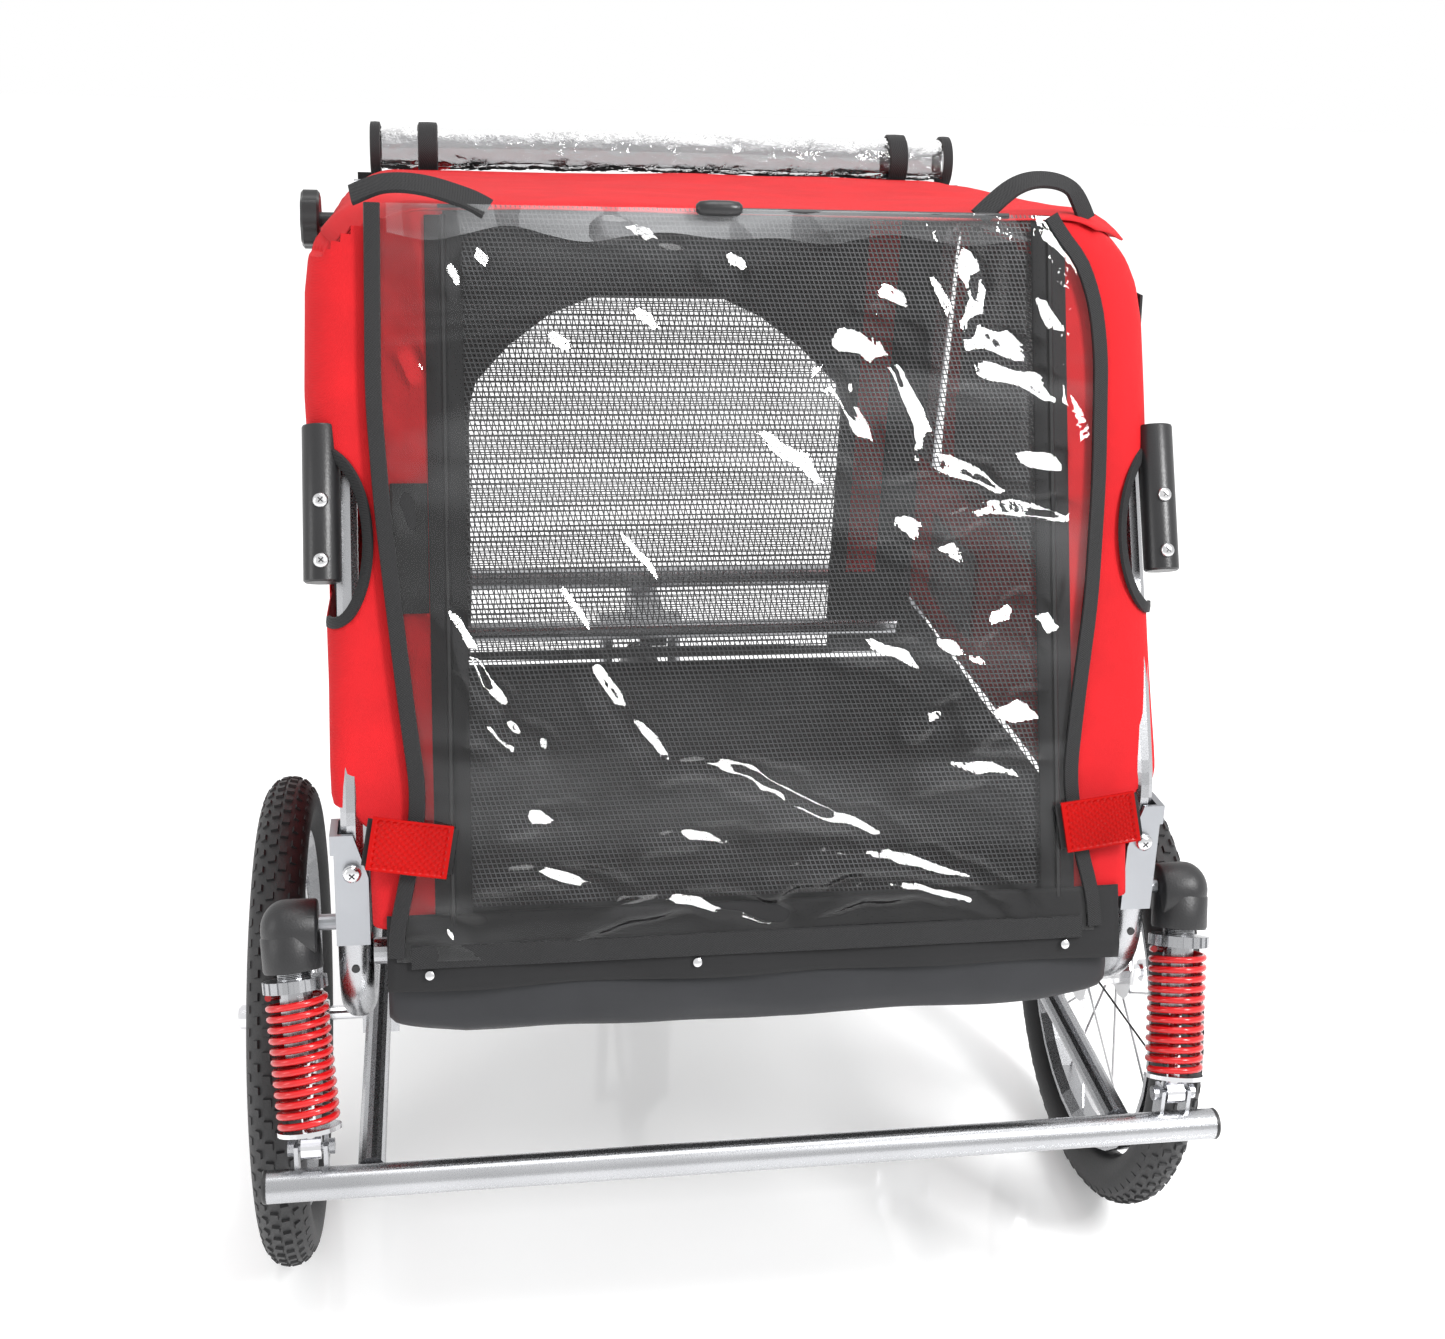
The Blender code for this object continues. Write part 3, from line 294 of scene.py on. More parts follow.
MESH_SIDE = netting("side_mesh", (0.020, 0.020, 0.022), 0.0022, 0.42)
VINYL = vinyl("clear_vinyl")
VINYL_MILKY = vinyl("milky_vinyl", (0.03, 0.34), 0.003)
VINYL_ROLL = vinyl("rolled_vinyl", (0.0, 0.03), 0.012, 1.36, 0.83)


# Mesh helpers --------------------------------------------------------------------------------

def link(obj, *materials):
    scene.collection.objects.link(obj)
    for material in materials:
        obj.data.materials.append(material)
    return obj


def mesh_piece(name, points, faces, *materials, smooth=True, angle=40):
    mesh = bpy.data.meshes.new(name)
    mesh.from_pydata([tuple(point) for point in points], [], faces)
    if smooth:
        mesh.shade_smooth()
        mesh.set_sharp_from_angle(angle=math.radians(angle))
    mesh.validate()
    return link(bpy.data.objects.new(name, mesh), *materials)


def grid_faces(rows, columns, closed=False):
    faces = []
    for i in range(rows - 1):
        for j in range(columns if closed else columns - 1):
            k = (j + 1) % columns
            faces.append((i * columns + j, i * columns + k, (i + 1) * columns + k, (i + 1) * columns + j))
    return faces


def sheet_piece(name, rows, *materials, kind=None, thickness=0.0, keep=None, angle=40):
    """A cloth surface from rows of points. kind(centre) picks a face's material, keep(centre) says if it stays."""
    columns = len(rows[0])
    points = [Vector(point) for row in rows for point in row]
    faces = grid_faces(len(rows), columns)
    if keep:
        faces = [face for face in faces if keep(sum((points[i] for i in face), Vector()) / 4)]
    obj = mesh_piece(name, points, faces, *materials, angle=angle)
    if kind:
        for polygon in obj.data.polygons:
            polygon.material_index = kind(polygon.center)
    if keep:
        shape = bmesh.new()
        shape.from_mesh(obj.data)
        bmesh.ops.delete(shape, geom=[v for v in shape.verts if not v.link_faces], context="VERTS")
        shape.to_mesh(obj.data)
        shape.free()
    if thickness:
        thick = obj.modifiers.new("thickness", "SOLIDIFY")
        thick.thickness = thickness
        thick.offset = 0
    return obj


def tube_piece(name, line, radius, material, sides=16):
    """A capped tube along a line, with its section carried along without twist."""
    line = [Vector(point) for point in line]
    count = len(line)
    tangents = [(line[min(i + 1, count - 1)] - line[max(i - 1, 0)]).normalized() for i in range(count)]
    side = tangents[0].orthogonal().normalized()
    points, faces = [], []
    for point, way in zip(line, tangents):
        side = (side - way * side.dot(way)).normalized()
        other = way.cross(side)
        for j in range(sides):
            angle = 2 * math.pi * j / sides
            points.append(point + (side * math.cos(angle) + other * math.sin(angle)) * radius)
    for i in range(count - 1):
        for j in range(sides):
            k = (j + 1) % sides
            a, b = i * sides, (i + 1) * sides
            faces.append((a + j, a + k, b + k, b + j))
    faces.append(tuple(reversed(range(sides))))
    faces.append(tuple(range((count - 1) * sides, count * sides)))
    return mesh_piece(name, points, faces, material, angle=50)


def clean(mesh, weld=False):
    """Turns every face outwards, after joining points that coincide if weld is set."""
    shape = bmesh.new()
    shape.from_mesh(mesh)
    if weld:
        bmesh.ops.remove_doubles(shape, verts=shape.verts, dist=WELD)
    bmesh.ops.recalc_face_normals(shape, faces=shape.faces)
    shape.to_mesh(mesh)
    shape.free()


def turned_piece(name, outline, start, way, material, sides=40, angle=30):
    """A solid of revolution from (distance, radius) points along an axis."""
    turn = Vector(way).to_track_quat("Z", "Y").to_matrix()
    start = Vector(start)
    points, faces = [], []
    for distance, radius in outline:
        for j in range(sides):
            spin = 2 * math.pi * j / sides
            points.append(start + turn @ Vector((radius * math.cos(spin), radius * math.sin(spin), distance)))
    faces = grid_faces(len(outline), sides, True)
    obj = mesh_piece(name, points, faces, material, angle=angle)
    clean(obj.data, weld=True)
    obj.data.set_sharp_from_angle(angle=math.radians(angle))
    return obj


def band_piece(name, line, normals, width, thickness, material, closed=False):
    """A flat band, such as webbing or binding, along a line, with its face along the normals."""
    line = [Vector(point) for point in line]
    count = len(line)
    points = []
    for i, point in enumerate(line):
        ahead = line[(i + 1) % count] if closed or i < count - 1 else line[i]
        behind = line[i - 1] if closed or i > 0 else line[i]
        way = (ahead - behind).normalized()
        normal = Vector(normals[i] if isinstance(normals, list) else normals)
        normal = (normal - way * normal.dot(way)).normalized()
        across = way.cross(normal)
        bulge = thickness * 0.5
        for a, b in ((-0.5, -1), (-0.44, 1), (0, 1.25), (0.44, 1), (0.5, -1), (0, -1.2)):
            points.append(point + across * (a * width) + normal * (b * bulge))
    rings = count + 1 if closed else count
    faces = []
    for i in range(rings - 1):
        for j in range(6):
            k = (j + 1) % 6
            a, b = (i % count) * 6, ((i + 1) % count) * 6
            faces.append((a + j, a + k, b + k, b + j))
    if not closed:
        faces.append(tuple(reversed(range(6))))
        faces.append(tuple(range((count - 1) * 6, count * 6)))
    obj = mesh_piece(name, points, faces, material, angle=50)
    clean(obj.data)
    return obj


def join(name, objects):
    """One piece from several meshes."""
    shape = bmesh.new()
    materials = []
    for obj in objects:
        offset = len(materials)
        materials.extend(obj.data.materials)
        start = len(shape.faces)
        shape.from_mesh(obj.data)
        shape.faces.ensure_lookup_table()
        for face in shape.faces[start:]:
            face.material_index += offset
    mesh = bpy.data.meshes.new(name)
    shape.to_mesh(mesh)
    shape.free()
    for obj in objects:
        bpy.data.objects.remove(obj)
    return link(bpy.data.objects.new(name, mesh), *materials)


def smooth_line(points, steps=8, closed=False):
    """A Catmull-Rom curve through points."""
    points = [Vector(point) for point in points]
    count = len(points)
    made = []
    last = count if closed else count - 1
    for i in range(last):
        a = points[i - 1] if closed or i > 0 else points[0]
        b, c = points[i], points[(i + 1) % count]
        d = points[(i + 2) % count] if closed or i + 2 < count else points[-1]
        for step in range(steps):
            t = step / steps
            curve = 2 * b + (c - a) * t + (2 * a - 5 * b + 4 * c - d) * t * t + (3 * b - a - 3 * c + d) * t ** 3
            made.append(0.5 * curve)
    if not closed:
        made.append(points[-1])
    return made


def filleted(corners, radii, steps=9):
    points = [Vector(corners[0])]
    for index in range(1, len(corners) - 1):
        corner = Vector(corners[index])
        back = (Vector(corners[index - 1]) - corner).normalized()
        ahead = (Vector(corners[index + 1]) - corner).normalized()
        half = back.angle(ahead) / 2
        reach = radii[index - 1] / math.tan(half)
        start, end = corner + back * reach, corner + ahead * reach
        centre = corner + (back + ahead).normalized() * (radii[index - 1] / math.sin(half))
        first, last = start - centre, end - centre
        sweep = first.angle(last)
        across = (last - first * math.cos(sweep)) / math.sin(sweep)
        for step in range(steps + 1):
            angle = sweep * step / steps
            points.append(centre + first * math.cos(angle) + across * math.sin(angle))
    points.append(Vector(corners[-1]))
    return points


def lerp(table, value):
    """Linear interpolation in a table of (key, result), with keys rising."""
    return float(np.interp(value, [row[0] for row in table], [row[1] for row in table]))


def face_y(z):
    return FACE_Y + (z - FACE_Z) * LEAN


NORMAL = Vector((0, -1, LEAN)).normalized()


def cloth(obj):
    """Hands the sheet back as it is."""
    return obj


def collapses(obj):
    """Hangs a cover on the frame's body, with a mesh of its own."""
    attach(obj, "frame")
    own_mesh(obj)
    return obj


# Body of the cabin ---------------------------------------------------------------------------

OUTLINE = {
    -1: ((0.38, 0.276), (0.462, 0.2785), (0.480, 0.3035), (0.505, 0.3045), (0.5515, 0.3050), (0.618, 0.3070),
         (0.671, 0.3150),
         (0.7465, 0.3190), (0.8155, 0.3180), (0.85, 0.3140), (0.866, 0.3060), (0.880, 0.2880)),
    1: ((0.38, 0.276), (0.462, 0.2785), (0.480, 0.3030), (0.489, 0.3035), (0.609, 0.3037), (0.730, 0.3040),
        (0.801, 0.3035), (0.829, 0.3000),
        (0.850, 0.2920), (0.866, 0.2800), (0.880, 0.2600)),
}


def outer(side, z):
    return lerp(OUTLINE[side], z)


def wrinkles(x, y, z, size=1.0):
    """A few millimetres of slack in stretched cloth."""
    broad = noise.noise(Vector((x * 7, y * 7, z * 5)))
    fold = noise.noise(Vector((x * 16 + 5, y * 16, z * 6)))
    return size * (0.0030 * broad + 0.0014 * fold)


def shell_point(side, z, distance):
    """A point on the red cloth, a distance out from the mesh door's edge, round the corner and forwards."""
    edge = 0.2225
    corner = outer(side, z)
    bend = lerp(((0.40, 0.010), (0.50, 0.014), (0.60, 0.026), (0.80, 0.034)), z)
    flat = corner - bend - edge
    arc = bend * math.pi / 2
    if distance < flat:
        x, y = edge + distance, 0.0
    elif distance < flat + arc:
        angle = (distance - flat) / bend
        x, y = edge + flat + bend * math.sin(angle), bend * (1 - math.cos(angle))
    else:
        x, y = corner, bend + distance - flat - arc
    return Vector((side * x, face_y(z) + y, z))


def roof_back(y):
    return max(0, 1 - (y - ROOF_REAR) / 0.075)


def roof_top(x, y):
    """The roof's height, which falls towards the front and round its side edges."""
    edge = max(0, (abs(x) - 0.262 + 0.03 * roof_back(y)) / 0.048)
    return 0.8800 - 0.0270 * (y - ROOF_REAR) / 0.513 - 0.0240 * min(edge, 1.2) ** 2.2


def under_roof(point):
    point.z = min(point.z, roof_top(point.x, max(point.y, -0.3080)) - 0.0030)
    return point


def in_cutout(point):
    """The bound hole in the corner that leaves the push handle's socket clear."""
    z0 = 0.656
    along = (point.z - z0) / 0.0580
    reach = abs(point.x) - 0.2760
    return abs(along) < 1 and reach > 0.0300 * (1 - math.sqrt(max(0, 1 - along * along)))


def rear_corner(side_name, side):
    rows = []
    for i in range(90):
        z = 0.398 + (0.880 - 0.398) * i / 89
        row = []
        for j in range(44):
            point = shell_point(side, z, 0.158 * j / 43)
            slack = wrinkles(point.x, point.y * 0.5, point.z)
            point += Vector((side * 0.6, -0.8, 0.1)) * slack
            row.append(under_roof(point) if point.y > -0.3080 else point)
        rows.append(row)
    obj = sheet_piece("rear_corner_" + side_name, rows, RED, thickness=0.0012, keep=lambda c: not in_cutout(c))
    cloth(obj)
    return collapses(obj)


def cutout_binding(side_name, side):
    line = []
    for i in range(41):
        angle = math.radians(-88 + 176 * i / 40)
        z = 0.656 + 0.0580 * math.sin(angle)
        reach = 0.2760 + 0.0300 * (1 - math.cos(angle))
        low, high = 0.0, 0.16
        for _ in range(24):
            middle = (low + high) / 2
            if abs(shell_point(side, z, middle).x) < min(reach, outer(side, z) - 0.0005):
                low = middle
            else:
                high = middle
        line.append(shell_point(side, z, low) + Vector((side * 0.0008, -0.0015, 0)))
    obj = band_piece("socket_binding_" + side_name, line, Vector((side * 0.6, -0.8, 0.1)), 0.0085, 0.0024, WEBBING)
    return collapses(obj)


def side_wall(side_name, side):
    rows = []
    for i in range(70):
        z = 0.440 + (0.872 - 0.440) * i / 69
        row = []
        for j in range(64):
            start = 0.150
            finish = 0.245 - face_y(z) + 0.10
            distance = start + (finish - start) * j / 63
            point = shell_point(side, z, distance)
            forward = max(0, (point.y + 0.30) / 0.55)
            outwards = min(1, forward * 1.3) * (1 if z < 0.86 else 0.3)
            point.x = side * (abs(point.x) + (0.3045 - abs(point.x)) * outwards)
            point.y = min(point.y, 0.236 - (z - 0.44) * 0.06)
            top = 0.8580 - 0.0270 * (point.y - ROOF_REAR) / 0.513
            point.z = 0.440 + (point.z - 0.440) * (top - 0.440) / 0.432
            row.append(under_roof(point + Vector((side, 0, 0)) * wrinkles(point.x, point.y, point.z, 0.8)))
        rows.append(row)

    def window(centre):
        return 1 if -0.29 < centre.y < 0.18 and 0.56 < centre.z < 0.815 else 0

    obj = sheet_piece("side_wall_" + side_name, rows, RED, MESH_SIDE, kind=window, thickness=0.0012)
    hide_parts("side_panel_" + side_name)
    cloth(obj)
    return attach(obj, "side_" + side_name)


def window_binding(side_name, side):
    x = side * 0.3075
    corners = [(x, -0.29, 0.56), (x, 0.18, 0.56), (x, 0.18, 0.815), (x, -0.29, 0.815)]
    line = []
    for i in range(4):
        a, b = Vector(corners[i]), Vector(corners[(i + 1) % 4])
        for step in range(12):
            line.append(a.lerp(b, step / 12))
    obj = band_piece("side_window_binding_" + side_name, line, Vector((side, 0, 0)), 0.012, 0.0022, WEBBING, True)
    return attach(obj, "side_" + side_name)


def roof():
    rows = []
    for i in range(60):
        y = -0.3080 + (0.2050 + 0.3080) * i / 59
        row = []
        for j in range(80):
            s = -1 + 2 * j / 79
            side = 1 if s > 0 else -1
            back = roof_back(y)
            x = (0.3100 - (0.024 if side < 0 else 0.050) * back ** 1.3) * s
            z = roof_top(x, y) + 0.0022 * math.sin(4 * s) * math.sin(7 * y)
            rear = max(0, (-0.285 - y) / 0.03)
            row.append(Vector((x, y, z - 0.004 * rear + wrinkles(x, y, 0.4, 0.7))))
        rows.append(row)
    obj = sheet_piece("roof", rows, RED, thickness=0.0012)
    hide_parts("roof_panel")
    cloth(obj)
    return collapses(obj)


def door():
    """The mesh door in the rear face, with its black border."""
    rows = []
    for i in range(70):
        z = 0.372 + (0.880 - 0.372) * i / 69
        row = []
        for j in range(60):
            x = -0.2250 + 0.450 * j / 59
            sag = 0.004 * math.sin(math.pi * (j / 59)) * math.sin(math.pi * i / 69)
            row.append(Vector((x, face_y(z) + 0.0015 + sag + wrinkles(x, 0, z, 0.5), z)))
        rows.append(row)

    def border(centre):
        return 1 if centre.z < 0.4080 or abs(centre.x) > 0.2130 else 0

    obj = sheet_piece("door_mesh", rows, MESH_DOOR, BLACK, kind=border)
    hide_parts("rear_door")
    cloth(obj)
    return collapses(obj)


def zips():
    made = []
    for side in (-1, 1):
        line = [Vector((side * 0.2215, face_y(z), z)) + NORMAL * 0.0030 for z in np.linspace(0.400, 0.872, 60)]
        tape = band_piece("zip_tape", line, NORMAL, 0.0260, 0.0012, BLACK)
        teeth = tube_piece("zip_teeth", [point + NORMAL * 0.0016 for point in line], 0.0021, PLASTIC, 6)
        made.extend((tape, teeth))
    return collapses(join("door_zips", made))


def hem():
    """The black skirt below the door, with its lower edge over the padded roll."""
    rows = []
    for i in range(16):
        t = i / 15
        z = 0.3560 + (0.4080 - 0.3560) * t
        row = []
        for j in range(90):
            x = -0.2680 + 0.536 * j / 89
            y = face_y(max(z, 0.366)) - 0.0040 + 0.0050 * math.sin(x * 38) * (1 - t) * 0.4 + wrinkles(x, 1, z, 0.9)
            row.append(Vector((x, y, z)))
        rows.append(row)
    obj = sheet_piece("door_skirt", rows, BLACK, thickness=0.0014)
    cloth(obj)
    return collapses(obj)


LEFT_EDGE = ((0.3745, -0.2610), (0.390, -0.2630), (0.430, -0.2530), (0.483, -0.2440), (0.545, -0.2520),
             (0.617, -0.2600), (0.68, -0.2665), (0.75, -0.2712), (0.878, -0.2700))
RIGHT_EDGE = ((0.3745, 0.2472), (0.392, 0.2500), (0.430, 0.2390), (0.482, 0.2300), (0.545, 0.2390), (0.609, 0.2495),
              (0.694, 0.2568), (0.786, 0.2600), (0.83, 0.2540), (0.862, 0.2380), (0.8790, 0.2150))


# Each crease of the clear cover: x, z, length, width and angle. It tilts the film towards the key light.
CREASES = (
    (0.158, 0.842, 0.026, 0.0088, 0.83), (0.174, 0.79, 0.053, 0.0096, -0.12), (0.185, 0.767, 0.061, 0.0066, -0.08),
    (0.068, 0.786, 0.06, 0.0123, 0.33), (0.05, 0.76, 0.034, 0.0109, -0.24), (0.069, 0.744, 0.043, 0.0082, -1.4),
    (0.019, 0.714, 0.077, 0.0094, -0.3), (0.116, 0.742, 0.058, 0.0068, -1.4), (0.136, 0.705, 0.068, 0.0066, -0.08),
    (0.211, 0.707, 0.038, 0.0066, 0.12), (0.122, 0.655, 0.06, 0.0088, -0.37), (0.183, 0.674, 0.069, 0.0052, 0.15),
    (0.1, 0.821, 0.025, 0.0051, -0.07), (0.106, 0.803, 0.033, 0.0044, -0.12), (0.246, 0.731, 0.044, 0.0054, -1.49),
    (0.243, 0.64, 0.052, 0.0054, -1.68), (0.218, 0.592, 0.025, 0.0069, -1.02), (0.187, 0.531, 0.041, 0.0082, 0.38),
    (0.165, 0.493, 0.068, 0.0066, 0.03), (-0.017, 0.498, 0.066, 0.005, -0.13), (0.015, 0.48, 0.055, 0.0058, -0.39),
    (0.057, 0.463, 0.067, 0.0072, -0.23), (0.104, 0.432, 0.12, 0.0073, -0.12), (0.118, 0.41, 0.083, 0.0044, -0.1),
    (0.095, 0.576, 0.045, 0.0066, -0.26), (0.128, 0.53, 0.03, 0.0052, 0.46), (-0.11, 0.556, 0.036, 0.0057, -1.13),
    (-0.08, 0.52, 0.032, 0.005, -1.04), (-0.21, 0.592, 0.046, 0.0062, -1.01), (-0.193, 0.557, 0.042, 0.0056, -0.87),
    (-0.165, 0.525, 0.032, 0.0056, -0.61), (-0.188, 0.526, 0.028, 0.0084, -0.36),
    (-0.161, 0.469, 0.028, 0.0057, 0.22), (-0.139, 0.475, 0.019, 0.0049, -0.53),
    (-0.237, 0.401, 0.042, 0.007, -0.21), (-0.214, 0.831, 0.018, 0.0049, -1.22),
    (-0.195, 0.843, 0.014, 0.0035, -0.5), (-0.24, 0.774, 0.016, 0.0042, -1.04),
    (-0.253, 0.672, 0.021, 0.0034, -1.41), (-0.081, 0.805, 0.031, 0.0029, -0.32),
    (-0.141, 0.788, 0.028, 0.0028, -0.16), (0.235, 0.856, 0.025, 0.0054, -0.65), (0.218, 0.81, 0.022, 0.0054, -1.39),
    (0.14, 0.818, 0.036, 0.0053, -1.3), (0.163, 0.818, 0.034, 0.0052, 1.0), (-0.047, 0.453, 0.05, 0.0036, 0.05),
    (-0.147, 0.43, 0.063, 0.0035, -0.09), (-0.055, 0.409, 0.086, 0.0036, -0.01),
    (-0.087, 0.644, 0.043, 0.0029, -0.86), (-0.134, 0.611, 0.042, 0.0028, -1.04),
    (-0.015, 0.843, 0.022, 0.0029, -0.15), (-0.083, 0.863, 0.043, 0.0036, -0.07),
    (0.178, 0.599, 0.038, 0.0045, 0.64), (0.147, 0.575, 0.038, 0.0059, -0.34),
)
UPHILL = Vector((0, LEAN, 1)).normalized()


def cover_height(x, z):
    """How far the clear cover stands off the rear face, for arrays of places."""
    height = 0.0085 + 0.0026 * np.sin(x * 9 + 1) * np.sin(z * 11)
    height = height + 0.0010 * np.sin(x * 23 + z * 31) * np.sin(z * 19 - 2)
    for cx, cz, length, width, angle in CREASES:
        place = Vector((cx, face_y(cz), cz))
        way = (EYE - place).normalized() + (KEY - place).normalized()
        tilt_x, tilt_z = -way.x / way.dot(NORMAL), -way.dot(UPHILL) / way.dot(NORMAL)
        dx, dz = x - cx, (z - cz) / UPHILL.z
        bend = 0.35 * width * np.sin(dx * 150 + cz * 90) * np.sin(dz * 120 + cx * 70)
        along = dx * math.cos(angle) + dz * math.sin(angle)
        across = -dx * math.sin(angle) + dz * math.cos(angle) + 3.0 * along * along + bend
        window = np.exp(-((along / (0.70 * length)) ** 4) - (across / (1.50 * max(width, 0.0050))) ** 4)
        rise = 1.08 * (tilt_x * dx + tilt_z * dz) * window
        height = height + 0.006 * np.tanh(rise / 0.006)
    return np.maximum(height, 0.0042)


def edge_at(table, z):
    return sum(lerp(table, z + step) for step in (-0.018, -0.009, 0, 0.009, 0.018)) / 5


def cover_point(s, z, lift=0.0):
    left, right = edge_at(LEFT_EDGE, z), edge_at(RIGHT_EDGE, z)
    return Vector((left + (right - left) * s, face_y(z), z)) + NORMAL * (0.0065 + lift)


def rear_cover():
    count = 280
    share = np.linspace(0, 1, count)
    rows = []
    for z in np.linspace(0.3760, 0.8785, count):
        left, right = edge_at(LEFT_EDGE, z), edge_at(RIGHT_EDGE, z)
        edge = np.minimum(1, 14 * np.minimum(share, 1 - share))
        heights = 0.0065 + (cover_height(left + (right - left) * share, z) - 0.0065) * edge
        rows.append([cover_point(s, z, height - 0.0065) for s, height in zip(share, heights.tolist())])
    obj = sheet_piece("rear_cover_film", rows, VINYL, angle=180)
    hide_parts("rear_cover")
    cloth(obj)
    return collapses(obj)


def cover_top_strip():
    rows = []
    lower = [0.8590 + 0.0090 * noise.noise(Vector((j * 0.07, 4, 1))) for j in range(120)]
    for i in range(14):
        z = 0.8785
        row = []
        for j in range(120):
            lift = 0.0022 + 0.0022 * noise.noise(Vector((j * 0.11, z * 60, 2)))
            row.append(cover_point(0.02 + 0.92 * j / 119, lower[j] + (z - lower[j]) * i / 13, lift))
        rows.append(row)
    obj = sheet_piece("rear_cover_top_strip", rows, VINYL_MILKY)
    cloth(obj)
    return collapses(obj)


def cover_binding():
    left = [cover_point(0.0, z, 0.0010) for z in np.linspace(0.8785, 0.3790, 60)]
    bottom = [cover_point(s, 0.3790, 0.0015) for s in np.linspace(0.02, 0.98, 60)]
    right = [cover_point(1.0, z, 0.0010) for z in np.linspace(0.3790, 0.8785, 60)]
    made = [band_piece("left_binding", left, NORMAL, 0.0115, 0.0026, WEBBING)]
    made.append(band_piece("right_binding", right, NORMAL, 0.0115, 0.0026, WEBBING))
    made.append(band_piece("bottom_binding", bottom, NORMAL, 0.0170, 0.0026, WEBBING))
    return collapses(join("rear_cover_binding", made))


def velcro():
    """The strip of hook tape on the left of the door."""
    line = [Vector((-0.2480, face_y(z), z)) + NORMAL * 0.0045 for z in np.linspace(0.607, 0.6935, 12)]
    return collapses(band_piece("hook_tape", line, NORMAL, 0.0260, 0.0024, WEBBING))


def front_panel():
    """The front curtain, with its arched mesh window and two red strips."""
    outline = (
        (-0.203, 0.330), (0.200, 0.330), (0.200, 0.610), (0.192, 0.640), (0.150, 0.680), (0.105, 0.7130),
        (0.060, 0.7335), (-0.070, 0.7335), (-0.118, 0.7130), (-0.160, 0.680), (-0.195, 0.640), (-0.203, 0.610),
    )

    def front_y(z):
        return lerp(((0.32, 0.262), (0.43, 0.2585), (0.87, 0.2290)), z)

    def inside(x, z):
        found = False
        for i in range(len(outline)):
            (ax, az), (bx, bz) = outline[i], outline[i - 1]
            if (az > z) != (bz > z) and x < (bx - ax) * (z - az) / (bz - az) + ax:
                found = not found
        return found

    rows = []
    for i in range(110):
        z = 0.326 + (0.847 - 0.326) * i / 109
        rows.append([Vector((-0.302 + 0.604 * j / 109, front_y(z), z)) for j in range(110)])

    def kind(centre):
        if inside(centre.x, centre.z):
            return 1
        return 2 if 0.212 < abs(centre.x) < 0.245 and centre.z > 0.42 else 0

    obj = sheet_piece("front_curtain", rows, BLACK, MESH_WINDOW, RED, kind=kind)
    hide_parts("front_panel")
    cloth(obj)
    collapses(obj)
    line = []
    for i in range(len(outline)):
        (ax, az), (bx, bz) = outline[i], outline[(i + 1) % len(outline)]
        for step in range(6):
            x, z = ax + (bx - ax) * step / 6, az + (bz - az) * step / 6
            line.append(Vector((x, front_y(z) - 0.0015, z)))
    collapses(band_piece("window_binding", line, Vector((0, -1, 0)), 0.0110, 0.0022, WEBBING, True))


def cover_roll():
    """The clear front cover rolled up at the roof's front edge, with two straps and bound ends."""
    y, z, reach = 0.2300, 0.8690, 0.2880
    rows = []
    turns = 2.6
    for i in range(150):
        angle = 2 * math.pi * turns * i / 149
        radius = 0.0130 + 0.0100 * i / 149
        row = []
        for j in range(150):
            x = -reach + 2 * reach * j / 149
            ripple = 0.0022 * noise.noise(Vector((x * 22, angle, 3)))
            ripple += 0.0012 * noise.noise(Vector((x * 60, angle * 2, 9)))
            sag = 0.0028 * math.cos(x * 5)
            size = radius + ripple
            row.append(Vector((x, y + size * math.cos(angle), z + sag + size * math.sin(angle))))
        rows.append(row)
    film = sheet_piece("front_cover_roll", rows, VINYL_ROLL)
    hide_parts("cover_roll")
    collapses(film)
    made = []
    for x, width in ((-0.2340, 0.019), (0.2330, 0.019), (-0.2840, 0.010), (0.2840, 0.010)):
        ring = []
        normals = []
        for step in range(48):
            angle = 2 * math.pi * step / 48
            way = Vector((0, math.cos(angle), math.sin(angle)))
            ring.append(Vector((x, y, z + 0.0028 * math.cos(x * 5))) + way * 0.0245)
            normals.append(way)
        made.append(band_piece("strap", ring, normals, width, 0.0024, WEBBING, True))
    collapses(join("roll_straps", made))


def rear_pad():
    """The padded roll under the door: a stuffed tube of cloth, flattened where it meets the frame."""
    rows = []
    count, around = 120, 36
    for i in range(count):
        t = i / (count - 1)
        x = -0.2680 + 0.532 * t
        end = min(1, 10 * min(t, 1 - t)) ** 0.45
        row = []
        for j in range(around):
            angle = 2 * math.pi * j / around
            depth = 0.0140 * (0.35 + 0.65 * end)
            height = 0.0245 * (0.45 + 0.55 * end)
            squared = (
                abs(math.cos(angle)) ** 0.75 * math.copysign(1, math.cos(angle)),
                abs(math.sin(angle)) ** 0.8 * math.copysign(1, math.sin(angle)),
            )
            pull = 1 + 0.10 * noise.noise(Vector((x * 14, math.cos(angle) * 1.5, math.sin(angle) * 1.5)))
            row.append(Vector((x, -0.4660 + depth * squared[0] * pull, 0.3385 + height * squared[1] * pull)))
        rows.append(row)
    points = [point for row in rows for point in row]
    faces = grid_faces(count, around, True)
    faces.append(tuple(reversed(range(around))))
    faces.append(tuple(range((count - 1) * around, count * around)))
    obj = mesh_piece("rear_bumper_pad", points, faces, PAD, angle=80)
    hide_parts("rear_pad")
    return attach(obj, "frame")


def snaps():
    """The press studs that close the skirt."""
    made = []
    dome = ((0, 0.0), (0, 0.0034), (0.0010, 0.0032), (0.0016, 0.0018), (0.0018, 0.0))
    for x in (-0.239, -0.050, 0.225):
        made.append(turned_piece("snap", dome, (x, -0.4846, 0.3690), NORMAL, STEEL, 20))
    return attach(join("snaps", made), "frame")


